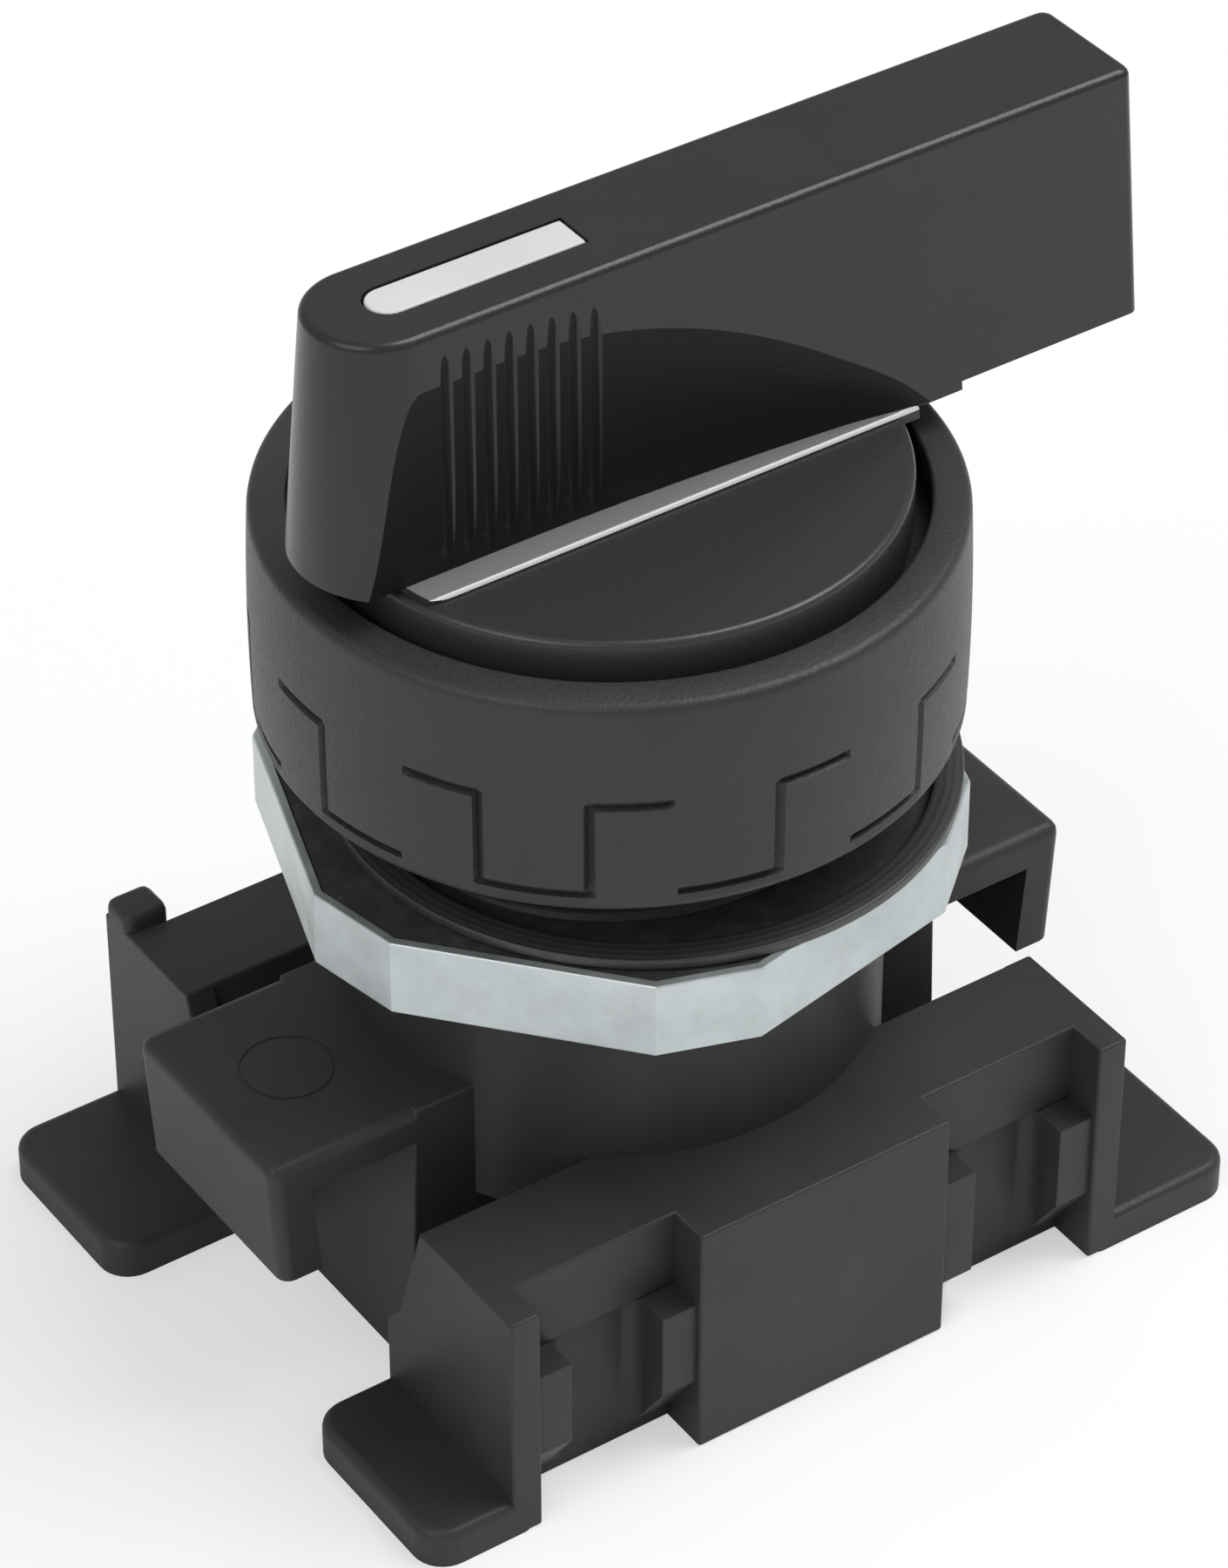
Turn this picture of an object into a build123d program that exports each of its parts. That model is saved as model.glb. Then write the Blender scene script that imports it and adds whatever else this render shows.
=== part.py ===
from build123d import *
import math
import os

# Rotary lever switch for a 22.5 mm panel hole, with its contact block adapter.
# Millimetres. The knob turns about Z, the bezel seats on the panel at Z = 0,
# and the lever points to -X at rest.

# Lever and knob disc
KNOB_TOP_Z = 11.73
LEVER_TOP_Z = 23.66
LEVER_TOP_HALF_WIDTH = 2.96
LEVER_LOW_HALF_WIDTH = 4.4
LEVER_TAIL_X = 24.3
NOSE_TOP_CENTRE_X = -11.2
NOSE_LOW_CENTRE_X = -10.6
LEVER_EDGE_ROUND = 0.35
TAIL_CORNER_ROUND = 0.45
NOSE_UNDERSIDE_RISE = 0.35
TAIL_UNDERSIDE_RISE = 0.62
TAIL_STEP_DROP = 0.4
TAIL_STEP_END_X = 14.9
KNOB_THICKNESS = 2.73
KNOB_EDGE_ROUND = 0.3

# Finger scoops in the lever flanks, and the grip ribs at their upper edge
RIDGE_HEIGHT = 0.2
RIDGE_SLOPE = 18.0
SCOOP_FLOOR_Y = 1.6
SCOOP_AXIS_Z = 18.0
SCOOP_RADIUS = 13.0
SCOOP_TOP_Z = 21.05
SCOOP_NOSE_X = -14.75
SCOOP_SHOULDER_X = -12.07
SCOOP_FLAT_START_X = -10.3
SCOOP_FLAT_END_X = -1.6
SCOOP_TAIL_X = 13.3
SCOOP_SHOULDER_DROP = 1.1
SCOOP_TAIL_SAG = 1.15
RIB_COUNT = 8
RIB_PITCH = 1.0
RIB_WIDTH = 0.42
RIB_FIRST_X = -9.7
RIB_HEIGHT = 0.55
RIB_TOP_Z = 21.9
RIB_FIRST_LOW_Z = 14.4
RIB_LAST_LOW_Z = 18.5

# Pointer inlay
INLAY_START_X = -11.5
INLAY_END_X = -1.75
INLAY_HALF_WIDTH = 0.95
INLAY_DEPTH = 1.0
INLAY_GAP = 0.1

# Bezel and threaded neck, one moulding
BEZEL_RADIUS = 15.11
BEZEL_BULGE = 0.12
BEZEL_TAPER = 0.11
BEZEL_HEIGHT = 10.32
BEZEL_RIM_WIDTH = 1.65
BEZEL_RIM_SLOPE = 0.18
BEZEL_FLOOR_Z = 8.6
BEZEL_EDGE_ROUND = 0.45
WEB_THICKNESS = 2.0
NECK_RADIUS = 10.9
BARREL_RADIUS = 10.0
NECK_THREAD_LENGTH = 8.2
NECK_LENGTH = 17.6
NECK_BORE_RADIUS = 8.5

# Castellated line round the bezel
TOOTH_COUNT = 12
TOOTH_ANGLE = 12.55
TOOTH_TOP_Z = 5.5
TOOTH_FOOT_Z = 0.95
LINE_WIDTH = 0.36
LINE_DEPTH = 0.3
LINE_TURN = -1.4
LINE_MIRROR_ANGLE = -135
LOW_LINE_GAP = 1.3

# Hub, seal and clip that carry the knob in the bezel
HUB_RADIUS = 6.0
HUB_LOW_Z = 3.0
SOCKET_SIDE = 5.0
SOCKET_TOP_Z = 8.0
SEAL_SECTION = 0.85
SEAL_BORE_LENGTH = 2.4
CLIP_THICKNESS = 0.6
CLIP_GROOVE_DEPTH = 0.7
CLIP_RADIUS = 7.4
CLIP_HIGH_Z = 4.0
CLIP_OPENING = 3.4

# Rotor with its swash cam
ROTOR_RADIUS = 6.8
ROTOR_TOP_Z = 2.9
CAM_RADIUS = 8.1
CAM_TOP_Z = -2.6
CAM_MID_Z = -6.0
CAM_TILT = 18.0
CAM_HIGH_ANGLE = 45
SCREW_RADIUS = 1.2
SCREW_HEAD_RADIUS = 2.3
SCREW_HEAD_HEIGHT = 1.6
SCREW_SLOT_WIDTH = 0.8
SCREW_SLOT_DEPTH = 0.8
SCREW_TOP_Z = 10.8
SCREW_SEAT_Z = -3.0

# Detent ring, pins and springs
DETENT_NOTCHES = 8
DETENT_CREST_RADIUS = 7.45
DETENT_NOTCH_DEPTH = 0.5
DETENT_NOTCH_RADIUS = 1.3
DETENT_RING_HIGH_Z = 1.6
DETENT_RING_HEIGHT = 4.0
PIN_RADIUS = 0.95
PIN_LENGTH = 2.8
PIN_Z = -0.4
DETENT_SPRING_LENGTH = 2.1
DETENT_SPRING_WIRE = 0.25
DETENT_SPRING_TURNS = 3

# Contact plungers and their return springs
PLUNGER_OFFSET = 5.2
PLUNGER_DOME_RADIUS = 1.5
PLUNGER_HEAD_LENGTH = 1.6
PLUNGER_FLANGE_RADIUS = 2.2
PLUNGER_FLANGE_HEIGHT = 0.8
PLUNGER_STEM_RADIUS = 1.2
PLUNGER_STEM_LENGTH = 15.4
RETURN_SPRING_WIRE = 0.35
RETURN_SPRING_TURNS = 5
GUIDE_THICKNESS = 2.0
GUIDE_RECESS = 0.1

# Panel gasket, pressure pad and locking nut
NUT_SIDES = 6
NUT_INSET = 0.74
NUT_FLAT = BEZEL_RADIUS - NUT_INSET
NUT_CORNER_REACH = 0.9
NUT_CORNER_FLAT = NUT_FLAT + NUT_CORNER_REACH
NUT_CORNER_ANGLE = 11.1
NUT_TOP_Z = -3.74
NUT_HEIGHT = 3.72
NUT_RIM = 0.4
PAD_THICKNESS = 0.6
GASKET_RADIUS = 13.72
GASKET_THICKNESS = 0.5
GASKET_SHIFT_X = 0.87
GASKET_SHIFT_Y = -1.22

# Adapter moulding: collar, bridge and centre housing
COLLAR_RADIUS = 12.0
COLLAR_TOP_Z = -8.4
COLLAR_LOW_Z = -19.6
HOUSING_HALF_LENGTH = 13.67
HOUSING_LOW_HALF_LENGTH = 14.1
HOUSING_HALF_WIDTH = 5.43
HOUSING_WALL = 1.5
BRIDGE_TOP_Z = -13.16
BRIDGE_HALF_LENGTH = 20.85
BRIDGE_THICKNESS = 1.79
BRIDGE_END_WALL = 1.95
BRIDGE_END_LEAN = 0.4
BRIDGE_END_LOW_Z = -19.57
BRIDGE_ROUND = 0.6
EJECTOR_MARK_RADIUS = 2.1
EJECTOR_MARK_X = 16.6
EJECTOR_MARK_WIDTH = 0.15
EJECTOR_MARK_DEPTH = 0.12
ADAPTER_LOW_Z = -28.04

# Adapter moulding: front and rear rails
RAIL_TOP_Z = -15.91
RAIL_PLATE = 1.5
RAIL_BACK_Y = 9.34
RAIL_FACE_Y = 14.35
RAIL_FRONT_Y = 16.31
RAIL_WEB = 1.4
RAIL_STEP_Z = -19.93
RAIL_STEP_DEPTH = 0.45
END_WALL_X = 16.1
END_WALL = 1.47
WALL_KNEE_Y = 7.6
WALL_KNEE_Z = -21.6
WALL_HEEL_Y = 6.6
WALL_HEEL_Z = -22.8
PAD_BLOCK_HALF_WIDTH = 6.53
FOOT_HALF_LENGTH = 21.92
FOOT_THICKNESS = 1.88
FOOT_CORNER_ROUND = 1.5
FOOT_EDGE_ROUND = 0.45
TAB_WIDTH = 1.75
TAB_SETBACK = 0.3
TAB_BLEND = 0.8
TAB_LOW_Z = -24.3
TAB_FOOT_Z = -27.4
LONG_TAB_LOW_Z = -25.6
LINK_RIB_X = 8.0
LINK_RIB_WIDTH = 1.4
LINK_RIB_TOP_Z = -20.0
LIP_LENGTH = 2.2
LIP_HEIGHT = 0.9
LIP_WIDTH = 2.0
LIP_ROUND = 0.45

# Clearances
RUNNING_FIT = 0.05
SLIDE_FIT = 0.08
PRESS_GAP = 0.05
MOVING_GAP = 0.15
BARREL_GAP = 0.12
HOLE_GAP = 0.4
KNOB_GAP = 0.7
CUT_OVER = 1.0

BEZEL_RIM_RADIUS = BEZEL_RADIUS - BEZEL_TAPER
BEZEL_BORE_RADIUS = BEZEL_RIM_RADIUS - BEZEL_RIM_WIDTH
KNOB_RADIUS = BEZEL_BORE_RADIUS - KNOB_GAP
KNOB_LOW_Z = KNOB_TOP_Z - KNOB_THICKNESS
KNOB_FLAT_RADIUS = KNOB_RADIUS - KNOB_EDGE_ROUND
RIDGE_TOP_Z = KNOB_TOP_Z + RIDGE_HEIGHT
NOSE_LOW_Z = KNOB_TOP_Z + NOSE_UNDERSIDE_RISE
TAIL_LOW_Z = KNOB_TOP_Z + TAIL_UNDERSIDE_RISE
NECK_LOW_Z = -NECK_LENGTH
WEB_LOW_Z = BEZEL_FLOOR_Z - WEB_THICKNESS
CAM_SLOPE = math.tan(math.radians(CAM_TILT))
GUIDE_TOP_Z = NECK_LOW_Z + GUIDE_RECESS + GUIDE_THICKNESS
NUT_BORE_RADIUS = NECK_RADIUS + SLIDE_FIT


def block(x0, x1, y0, y1, z0, z1):
    centre = Pos((x0 + x1) / 2, (y0 + y1) / 2, (z0 + z1) / 2)
    return centre * Box(x1 - x0, y1 - y0, z1 - z0)


def rod(radius, low_z, high_z, x=0.0, y=0.0):
    return Pos(x, y, (low_z + high_z) / 2) * Cylinder(radius, high_z - low_z)


def tube(outer, inner, low_z, high_z):
    return rod(outer, low_z, high_z) - rod(inner, low_z - CUT_OVER, high_z + CUT_OVER)


def lever_outline(nose_x, half_width, z):
    # Plan of the lever at one height: a half-round nose and a square tail
    nose = ThreePointArc(
        (nose_x, half_width), (nose_x - half_width, 0), (nose_x, -half_width)
    )
    sides = Polyline(
        (nose_x, -half_width),
        (LEVER_TAIL_X, -half_width),
        (LEVER_TAIL_X, half_width),
        (nose_x, half_width),
    )
    return Pos(0, 0, z) * make_face(nose + sides)


def lever_bar():
    low_z = KNOB_TOP_Z
    bar = loft(
        [
            lever_outline(NOSE_LOW_CENTRE_X, LEVER_LOW_HALF_WIDTH, low_z),
            lever_outline(NOSE_TOP_CENTRE_X, LEVER_TOP_HALF_WIDTH, LEVER_TOP_Z),
        ],
        ruled=True,
    )
    tail_edges = bar.faces().sort_by(Axis.X)[-1].edges()
    upright = [edge for edge in tail_edges if edge.bounding_box().size.Z > CUT_OVER]
    bar = fillet(upright, TAIL_CORNER_ROUND)
    return fillet(bar.faces().sort_by(Axis.Z)[-1].edges(), LEVER_EDGE_ROUND)


def nose_undercut():
    # Beyond the knob disc the nose runs clear above the bezel
    half = LEVER_LOW_HALF_WIDTH + CUT_OVER
    under = block(NOSE_LOW_CENTRE_X - half, 0, -half, half, KNOB_LOW_Z, NOSE_LOW_Z)
    return under - rod(KNOB_FLAT_RADIUS, KNOB_LOW_Z - CUT_OVER, NOSE_LOW_Z + CUT_OVER)


def tail_undercut():
    # The tail runs clear above the bezel, with a low boss next to the knob
    half = LEVER_LOW_HALF_WIDTH + CUT_OVER
    high = block(TAIL_STEP_END_X, LEVER_TAIL_X + CUT_OVER, -half, half,
                 KNOB_LOW_Z, TAIL_LOW_Z)
    low = block(KNOB_RADIUS, LEVER_TAIL_X, -half, half,
                KNOB_LOW_Z, TAIL_LOW_Z - TAIL_STEP_DROP)
    return high + low


def scoop_outline():
    # Scoop boundary seen from the side, in X and Z
    rising = Polyline(
        (SCOOP_NOSE_X, RIDGE_TOP_Z),
        (SCOOP_SHOULDER_X, SCOOP_TOP_Z - SCOOP_SHOULDER_DROP),
        (SCOOP_FLAT_START_X, SCOOP_TOP_Z),
        (SCOOP_FLAT_END_X, SCOOP_TOP_Z),
    )
    middle_x = (SCOOP_FLAT_END_X + SCOOP_TAIL_X) / 2
    middle_z = (SCOOP_TOP_Z + RIDGE_TOP_Z) / 2 + SCOOP_TAIL_SAG
    falling = ThreePointArc(
        (SCOOP_FLAT_END_X, SCOOP_TOP_Z), (middle_x, middle_z), (SCOOP_TAIL_X, RIDGE_TOP_Z)
    )
    floor = Polyline(
        (SCOOP_TAIL_X, RIDGE_TOP_Z),
        (SCOOP_TAIL_X, KNOB_LOW_Z),
        (SCOOP_NOSE_X, KNOB_LOW_Z),
        (SCOOP_NOSE_X, RIDGE_TOP_Z),
    )
    return make_face(rising + falling + floor)


def ridge():
    # Slanted band on the knob disc that the scoop leaves standing at its foot
    outer_y = -LEVER_LOW_HALF_WIDTH - 2 * CUT_OVER
    rise = math.tan(math.radians(RIDGE_SLOPE))
    side = make_face(Polyline(
        (0, KNOB_LOW_Z - CUT_OVER),
        (0, RIDGE_TOP_Z + rise * LEVER_LOW_HALF_WIDTH),
        (outer_y, RIDGE_TOP_Z - rise * 2 * CUT_OVER),
        (outer_y, KNOB_LOW_Z - CUT_OVER),
        (0, KNOB_LOW_Z - CUT_OVER),
    ))
    band = extrude(Plane.YZ.offset(-KNOB_RADIUS) * side, KNOB_RADIUS + SCOOP_TAIL_X + CUT_OVER)
    on_disc = rod(KNOB_FLAT_RADIUS, KNOB_LOW_Z - 2 * CUT_OVER, SCOOP_TOP_Z)
    to_tail = block(0, SCOOP_TAIL_X + 2 * CUT_OVER, 2 * outer_y, CUT_OVER,
                    KNOB_LOW_Z - 2 * CUT_OVER, SCOOP_TOP_Z)
    return band & (on_disc + to_tail)


def scoop():
    reach = LEVER_LOW_HALF_WIDTH + CUT_OVER
    prism = extrude(Plane.XZ * scoop_outline(), reach)
    length = SCOOP_TAIL_X - SCOOP_NOSE_X + 2 * CUT_OVER
    axis = Pos((SCOOP_TAIL_X + SCOOP_NOSE_X) / 2, -SCOOP_FLOOR_Y - SCOOP_RADIUS, SCOOP_AXIS_Z)
    return (prism & (axis * Rot(0, 90, 0) * Cylinder(SCOOP_RADIUS, length))) - ridge()


def scoop_floor_y(z):
    rise = z - SCOOP_AXIS_Z
    return -SCOOP_FLOOR_Y - SCOOP_RADIUS + math.sqrt(SCOOP_RADIUS ** 2 - rise ** 2)


def lever_flank_y(z):
    share = (LEVER_TOP_Z - z) / (LEVER_TOP_Z - KNOB_TOP_Z)
    return -LEVER_TOP_HALF_WIDTH - share * (LEVER_LOW_HALF_WIDTH - LEVER_TOP_HALF_WIDTH)


def grip_ribs():
    # Upright ribs in the scoop; each ends a little higher than the one before
    ribs = []
    for index in range(RIB_COUNT):
        x = RIB_FIRST_X + index * RIB_PITCH
        share = index / (RIB_COUNT - 1)
        low_z = RIB_FIRST_LOW_Z + share * (RIB_LAST_LOW_Z - RIB_FIRST_LOW_Z)
        low_y = scoop_floor_y(low_z)
        side = Plane.YZ.offset(x - RIB_WIDTH / 2) * make_face(Polyline(
            (low_y + RIB_HEIGHT, low_z),
            (low_y, low_z),
            (scoop_floor_y(SCOOP_TOP_Z) - RIB_HEIGHT, SCOOP_TOP_Z),
            (scoop_floor_y(SCOOP_TOP_Z) + RIB_HEIGHT, SCOOP_TOP_Z),
            (low_y + RIB_HEIGHT, low_z),
        ))
        ribs.append(extrude(side, RIB_WIDTH))
    return ribs


def rib_notches():
    # The gaps between the ribs run out a little above the scoop
    notches = []
    for index in range(RIB_COUNT - 1):
        x = RIB_FIRST_X + (index + 0.5) * RIB_PITCH
        half = (RIB_PITCH - RIB_WIDTH) / 2
        flank = lever_flank_y(RIB_TOP_Z)
        side = Plane.YZ.offset(x - half) * make_face(Polyline(
            (flank, RIB_TOP_Z),
            (scoop_floor_y(SCOOP_TOP_Z), SCOOP_TOP_Z - RIB_HEIGHT),
            (flank - CUT_OVER, SCOOP_TOP_Z - RIB_HEIGHT),
            (flank - CUT_OVER, RIB_TOP_Z),
            (flank, RIB_TOP_Z),
        ))
        notches.append(extrude(side, 2 * half))
    return notches


def inlay_outline(gap):
    half = INLAY_HALF_WIDTH + gap
    start_x = INLAY_START_X - gap + half
    end = ThreePointArc((start_x, half), (start_x - half, 0), (start_x, -half))
    sides = Polyline(
        (start_x, -half),
        (INLAY_END_X + gap, -half),
        (INLAY_END_X + gap, half),
        (start_x, half),
    )
    return make_face(end + sides)


def hub():
    # Round hub with a square socket for the rotor and a groove for the clip
    socket_high = block(-SOCKET_SIDE / 2, SOCKET_SIDE / 2, -SOCKET_SIDE / 2, SOCKET_SIDE / 2,
                        HUB_LOW_Z - CUT_OVER, SOCKET_TOP_Z)
    groove = tube(HUB_RADIUS + CUT_OVER, HUB_RADIUS - CLIP_GROOVE_DEPTH,
                  CLIP_HIGH_Z - CLIP_THICKNESS - SLIDE_FIT, CLIP_HIGH_Z + SLIDE_FIT)
    return rod(HUB_RADIUS, HUB_LOW_Z, KNOB_LOW_Z) - groove, socket_high


def lever_handle():
    disc = rod(KNOB_RADIUS, KNOB_LOW_Z, KNOB_TOP_Z)
    disc = fillet(disc.edges().group_by(Axis.Z)[-1], KNOB_EDGE_ROUND)
    cuts = [scoop()] + rib_notches()
    ribs = grip_ribs()
    bar = lever_bar() - nose_undercut() - tail_undercut()
    bar = bar - cuts + ribs
    bar = bar - [mirror(cut, Plane.XZ) for cut in cuts] + [mirror(rib, Plane.XZ) for rib in ribs]
    stem, socket = hub()
    inlay_floor = Pos(0, 0, LEVER_TOP_Z - INLAY_DEPTH)
    pocket = inlay_floor * extrude(inlay_outline(INLAY_GAP), INLAY_DEPTH + CUT_OVER)
    screw_hole = rod(SCREW_RADIUS + RUNNING_FIT, HUB_LOW_Z, SCREW_TOP_Z + HOLE_GAP)
    return disc + bar + stem - socket - pocket - screw_hole


def indicator_inlay():
    return Pos(0, 0, LEVER_TOP_Z - INLAY_DEPTH) * extrude(inlay_outline(0), INLAY_DEPTH)


def castellation():
    # Grooved line that steps up and down round the bezel
    tooth_pitch = 360 / TOOTH_COUNT
    outer = BEZEL_RADIUS + BEZEL_BULGE + CUT_OVER
    inner = BEZEL_RADIUS + BEZEL_BULGE - LINE_DEPTH
    cuts = []

    def arc_groove(start, end, z):
        ring = Plane.XZ * Pos((outer + inner) / 2, z) * Rectangle(outer - inner, LINE_WIDTH)
        return Rot(0, 0, start) * revolve(ring, Axis.Z, end - start)

    def upright_groove(angle):
        bar = block(inner, outer, -LINE_WIDTH / 2, LINE_WIDTH / 2, TOOTH_FOOT_Z, TOOTH_TOP_Z)
        return Rot(0, 0, angle) * bar

    def upright_side(index):
        # The uprights lie on the side of each tooth that faces the mirror line
        away = math.sin(math.radians(index * tooth_pitch - LINE_MIRROR_ANGLE))
        return -1 if away > 0 else 1

    for index in range(TOOTH_COUNT):
        tooth = LINE_TURN + index * tooth_pitch
        start_gap = LOW_LINE_GAP if upright_side(index) < 0 else 0
        end_gap = LOW_LINE_GAP if upright_side(index + 1) > 0 else 0
        low_start = tooth + TOOTH_ANGLE / 2 + start_gap
        low_end = tooth + tooth_pitch - TOOTH_ANGLE / 2 - end_gap
        cuts.append(arc_groove(tooth - TOOTH_ANGLE / 2, tooth + TOOTH_ANGLE / 2, TOOTH_TOP_Z))
        cuts.append(arc_groove(low_start, low_end, TOOTH_FOOT_Z))
        cuts.append(upright_groove(tooth + upright_side(index) * TOOTH_ANGLE / 2))
    return cuts


def bezel_housing():
    # Turned profile: rim, knob recess, web with the hub bore, neck and barrel
    outline = make_face(
        Line((NECK_BORE_RADIUS, NECK_LOW_Z), (BARREL_RADIUS, NECK_LOW_Z))
        + Line((BARREL_RADIUS, NECK_LOW_Z), (BARREL_RADIUS, -NECK_THREAD_LENGTH))
        + Line((BARREL_RADIUS, -NECK_THREAD_LENGTH), (NECK_RADIUS, -NECK_THREAD_LENGTH))
        + Line((NECK_RADIUS, -NECK_THREAD_LENGTH), (NECK_RADIUS, 0))
        + Line((NECK_RADIUS, 0), (BEZEL_RADIUS, 0))
        + ThreePointArc(
            (BEZEL_RADIUS, 0),
            ((BEZEL_RADIUS + BEZEL_RIM_RADIUS) / 2 + BEZEL_BULGE, BEZEL_HEIGHT / 2),
            (BEZEL_RIM_RADIUS, BEZEL_HEIGHT),
        )
        + Line((BEZEL_RIM_RADIUS, BEZEL_HEIGHT), (BEZEL_BORE_RADIUS, BEZEL_HEIGHT + BEZEL_RIM_SLOPE))
        + Line((BEZEL_BORE_RADIUS, BEZEL_HEIGHT + BEZEL_RIM_SLOPE), (BEZEL_BORE_RADIUS, BEZEL_FLOOR_Z))
        + Line((BEZEL_BORE_RADIUS, BEZEL_FLOOR_Z), (HUB_RADIUS + RUNNING_FIT, BEZEL_FLOOR_Z))
        + Line((HUB_RADIUS + RUNNING_FIT, BEZEL_FLOOR_Z), (HUB_RADIUS + RUNNING_FIT, WEB_LOW_Z))
        + Line((HUB_RADIUS + RUNNING_FIT, WEB_LOW_Z), (seal_bore_radius(), WEB_LOW_Z))
        + Line((seal_bore_radius(), WEB_LOW_Z), (seal_bore_radius(), WEB_LOW_Z - SEAL_BORE_LENGTH))
        + Line((seal_bore_radius(), WEB_LOW_Z - SEAL_BORE_LENGTH),
               (NECK_BORE_RADIUS, WEB_LOW_Z - SEAL_BORE_LENGTH))
        + Line((NECK_BORE_RADIUS, WEB_LOW_Z - SEAL_BORE_LENGTH), (NECK_BORE_RADIUS, NECK_LOW_Z))
    )
    body = revolve(Plane.XZ * outline, Axis.Z)
    rim = body.edges().filter_by(lambda edge: abs(edge.center().Z - BEZEL_HEIGHT) < RUNNING_FIT)
    body = fillet(rim, BEZEL_EDGE_ROUND)
    return body - castellation()


def seal_bore_radius():
    return HUB_RADIUS + 2 * SEAL_SECTION + 2 * PRESS_GAP


def hub_seal():
    centre_z = WEB_LOW_Z - SEAL_SECTION - PRESS_GAP
    return Pos(0, 0, centre_z) * Torus(HUB_RADIUS + SEAL_SECTION + PRESS_GAP, SEAL_SECTION)


def retaining_clip():
    inner = HUB_RADIUS - CLIP_GROOVE_DEPTH + PRESS_GAP
    ring = tube(CLIP_RADIUS, inner, CLIP_HIGH_Z - CLIP_THICKNESS, CLIP_HIGH_Z)
    opening = block(0, CLIP_RADIUS + CUT_OVER, -CLIP_OPENING / 2, CLIP_OPENING / 2,
                    CLIP_HIGH_Z - CLIP_THICKNESS - CUT_OVER, CLIP_HIGH_Z + CUT_OVER)
    return ring - opening


def cam_height(x, y):
    # Height of the slanted cam face above a point of the plan
    along = x * math.cos(math.radians(CAM_HIGH_ANGLE)) + y * math.sin(math.radians(CAM_HIGH_ANGLE))
    return CAM_MID_Z - CAM_SLOPE * along


def rotor():
    # Round body with a square spigot above and a slanted cam face below
    reach = 2 * CAM_RADIUS
    below_cam = Pos(0, 0, -reach / 2) * Box(2 * reach, 2 * reach, reach)
    slant = Pos(0, 0, CAM_MID_Z) * Rot(0, 0, CAM_HIGH_ANGLE) * Rot(0, CAM_TILT, 0)
    cam = rod(CAM_RADIUS, CAM_MID_Z - reach / 2, CAM_TOP_Z) - slant * below_cam
    body = rod(ROTOR_RADIUS, CAM_TOP_Z, ROTOR_TOP_Z)
    half = SOCKET_SIDE / 2 - PRESS_GAP
    spigot = block(-half, half, -half, half, ROTOR_TOP_Z, SOCKET_TOP_Z - MOVING_GAP)
    screw_hole = rod(SCREW_RADIUS + RUNNING_FIT, CAM_MID_Z - reach, SOCKET_TOP_Z)
    head_hole = rod(SCREW_HEAD_RADIUS + HOLE_GAP, CAM_MID_Z - reach, SCREW_SEAT_Z)
    pin_holes = [pin_bore(side) for side in (-1, 1)]
    return cam + body + spigot - screw_hole - head_hole - pin_holes


def pin_tip():
    return DETENT_CREST_RADIUS - MOVING_GAP


def pin_bore(side):
    deep = pin_tip() - PIN_LENGTH - DETENT_SPRING_LENGTH
    length = ROTOR_RADIUS + CUT_OVER - deep
    bore = Cylinder(PIN_RADIUS + RUNNING_FIT, length)
    return Pos(0, side * (deep + length / 2), PIN_Z) * Rot(90, 0, 0) * bore


def hub_screw():
    head = rod(SCREW_HEAD_RADIUS, SCREW_SEAT_Z - SCREW_HEAD_HEIGHT, SCREW_SEAT_Z)
    head_low_z = SCREW_SEAT_Z - SCREW_HEAD_HEIGHT
    slot = block(-SCREW_HEAD_RADIUS, SCREW_HEAD_RADIUS, -SCREW_SLOT_WIDTH / 2, SCREW_SLOT_WIDTH / 2,
                 head_low_z - CUT_OVER, head_low_z + SCREW_SLOT_DEPTH)
    return head + rod(SCREW_RADIUS, SCREW_SEAT_Z, SCREW_TOP_Z) - slot


def detent_ring():
    low_z = DETENT_RING_HIGH_Z - DETENT_RING_HEIGHT
    ring = tube(NECK_BORE_RADIUS - PRESS_GAP, DETENT_CREST_RADIUS, low_z, DETENT_RING_HIGH_Z)
    centre = DETENT_CREST_RADIUS + DETENT_NOTCH_DEPTH - DETENT_NOTCH_RADIUS
    notch = rod(DETENT_NOTCH_RADIUS, low_z - CUT_OVER, DETENT_RING_HIGH_Z + CUT_OVER, x=centre)
    return ring - [Rot(0, 0, index * 360 / DETENT_NOTCHES) * notch for index in range(DETENT_NOTCHES)]


def detent_pin(side):
    # Round pin with a domed nose, pressed outwards into a notch of the ring
    shank = PIN_LENGTH - PIN_RADIUS
    body = Pos(0, 0, shank / 2) * Cylinder(PIN_RADIUS, shank)
    pin = body + Pos(0, 0, shank) * Sphere(PIN_RADIUS)
    return Pos(0, side * (pin_tip() - PIN_LENGTH), PIN_Z) * Rot(-90 * side, 0, 0) * pin


def coil(radius, wire, height, turns):
    # Compression spring on Z from 0 to height, measured over the wire
    path = Helix((height - wire) / turns, height - wire, radius - wire / 2)
    section = Plane(path @ 0, z_dir=path % 0) * Circle(wire / 2)
    return Pos(0, 0, wire / 2) * sweep(section, path, is_frenet=True)


def detent_spring(side):
    length = DETENT_SPRING_LENGTH - 2 * PRESS_GAP
    spring = coil(PIN_RADIUS - PRESS_GAP, DETENT_SPRING_WIRE, length, DETENT_SPRING_TURNS)
    start = pin_tip() - PIN_LENGTH - DETENT_SPRING_LENGTH + PRESS_GAP
    return Pos(0, side * start, PIN_Z) * Rot(-90 * side, 0, 0) * spring


def plunger_dome_z(side):
    # Centre of the plunger's dome, held just clear of the slanted cam face
    standoff = (PLUNGER_DOME_RADIUS + MOVING_GAP) / math.cos(math.radians(CAM_TILT))
    return cam_height(side * PLUNGER_OFFSET, 0) - standoff


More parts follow.
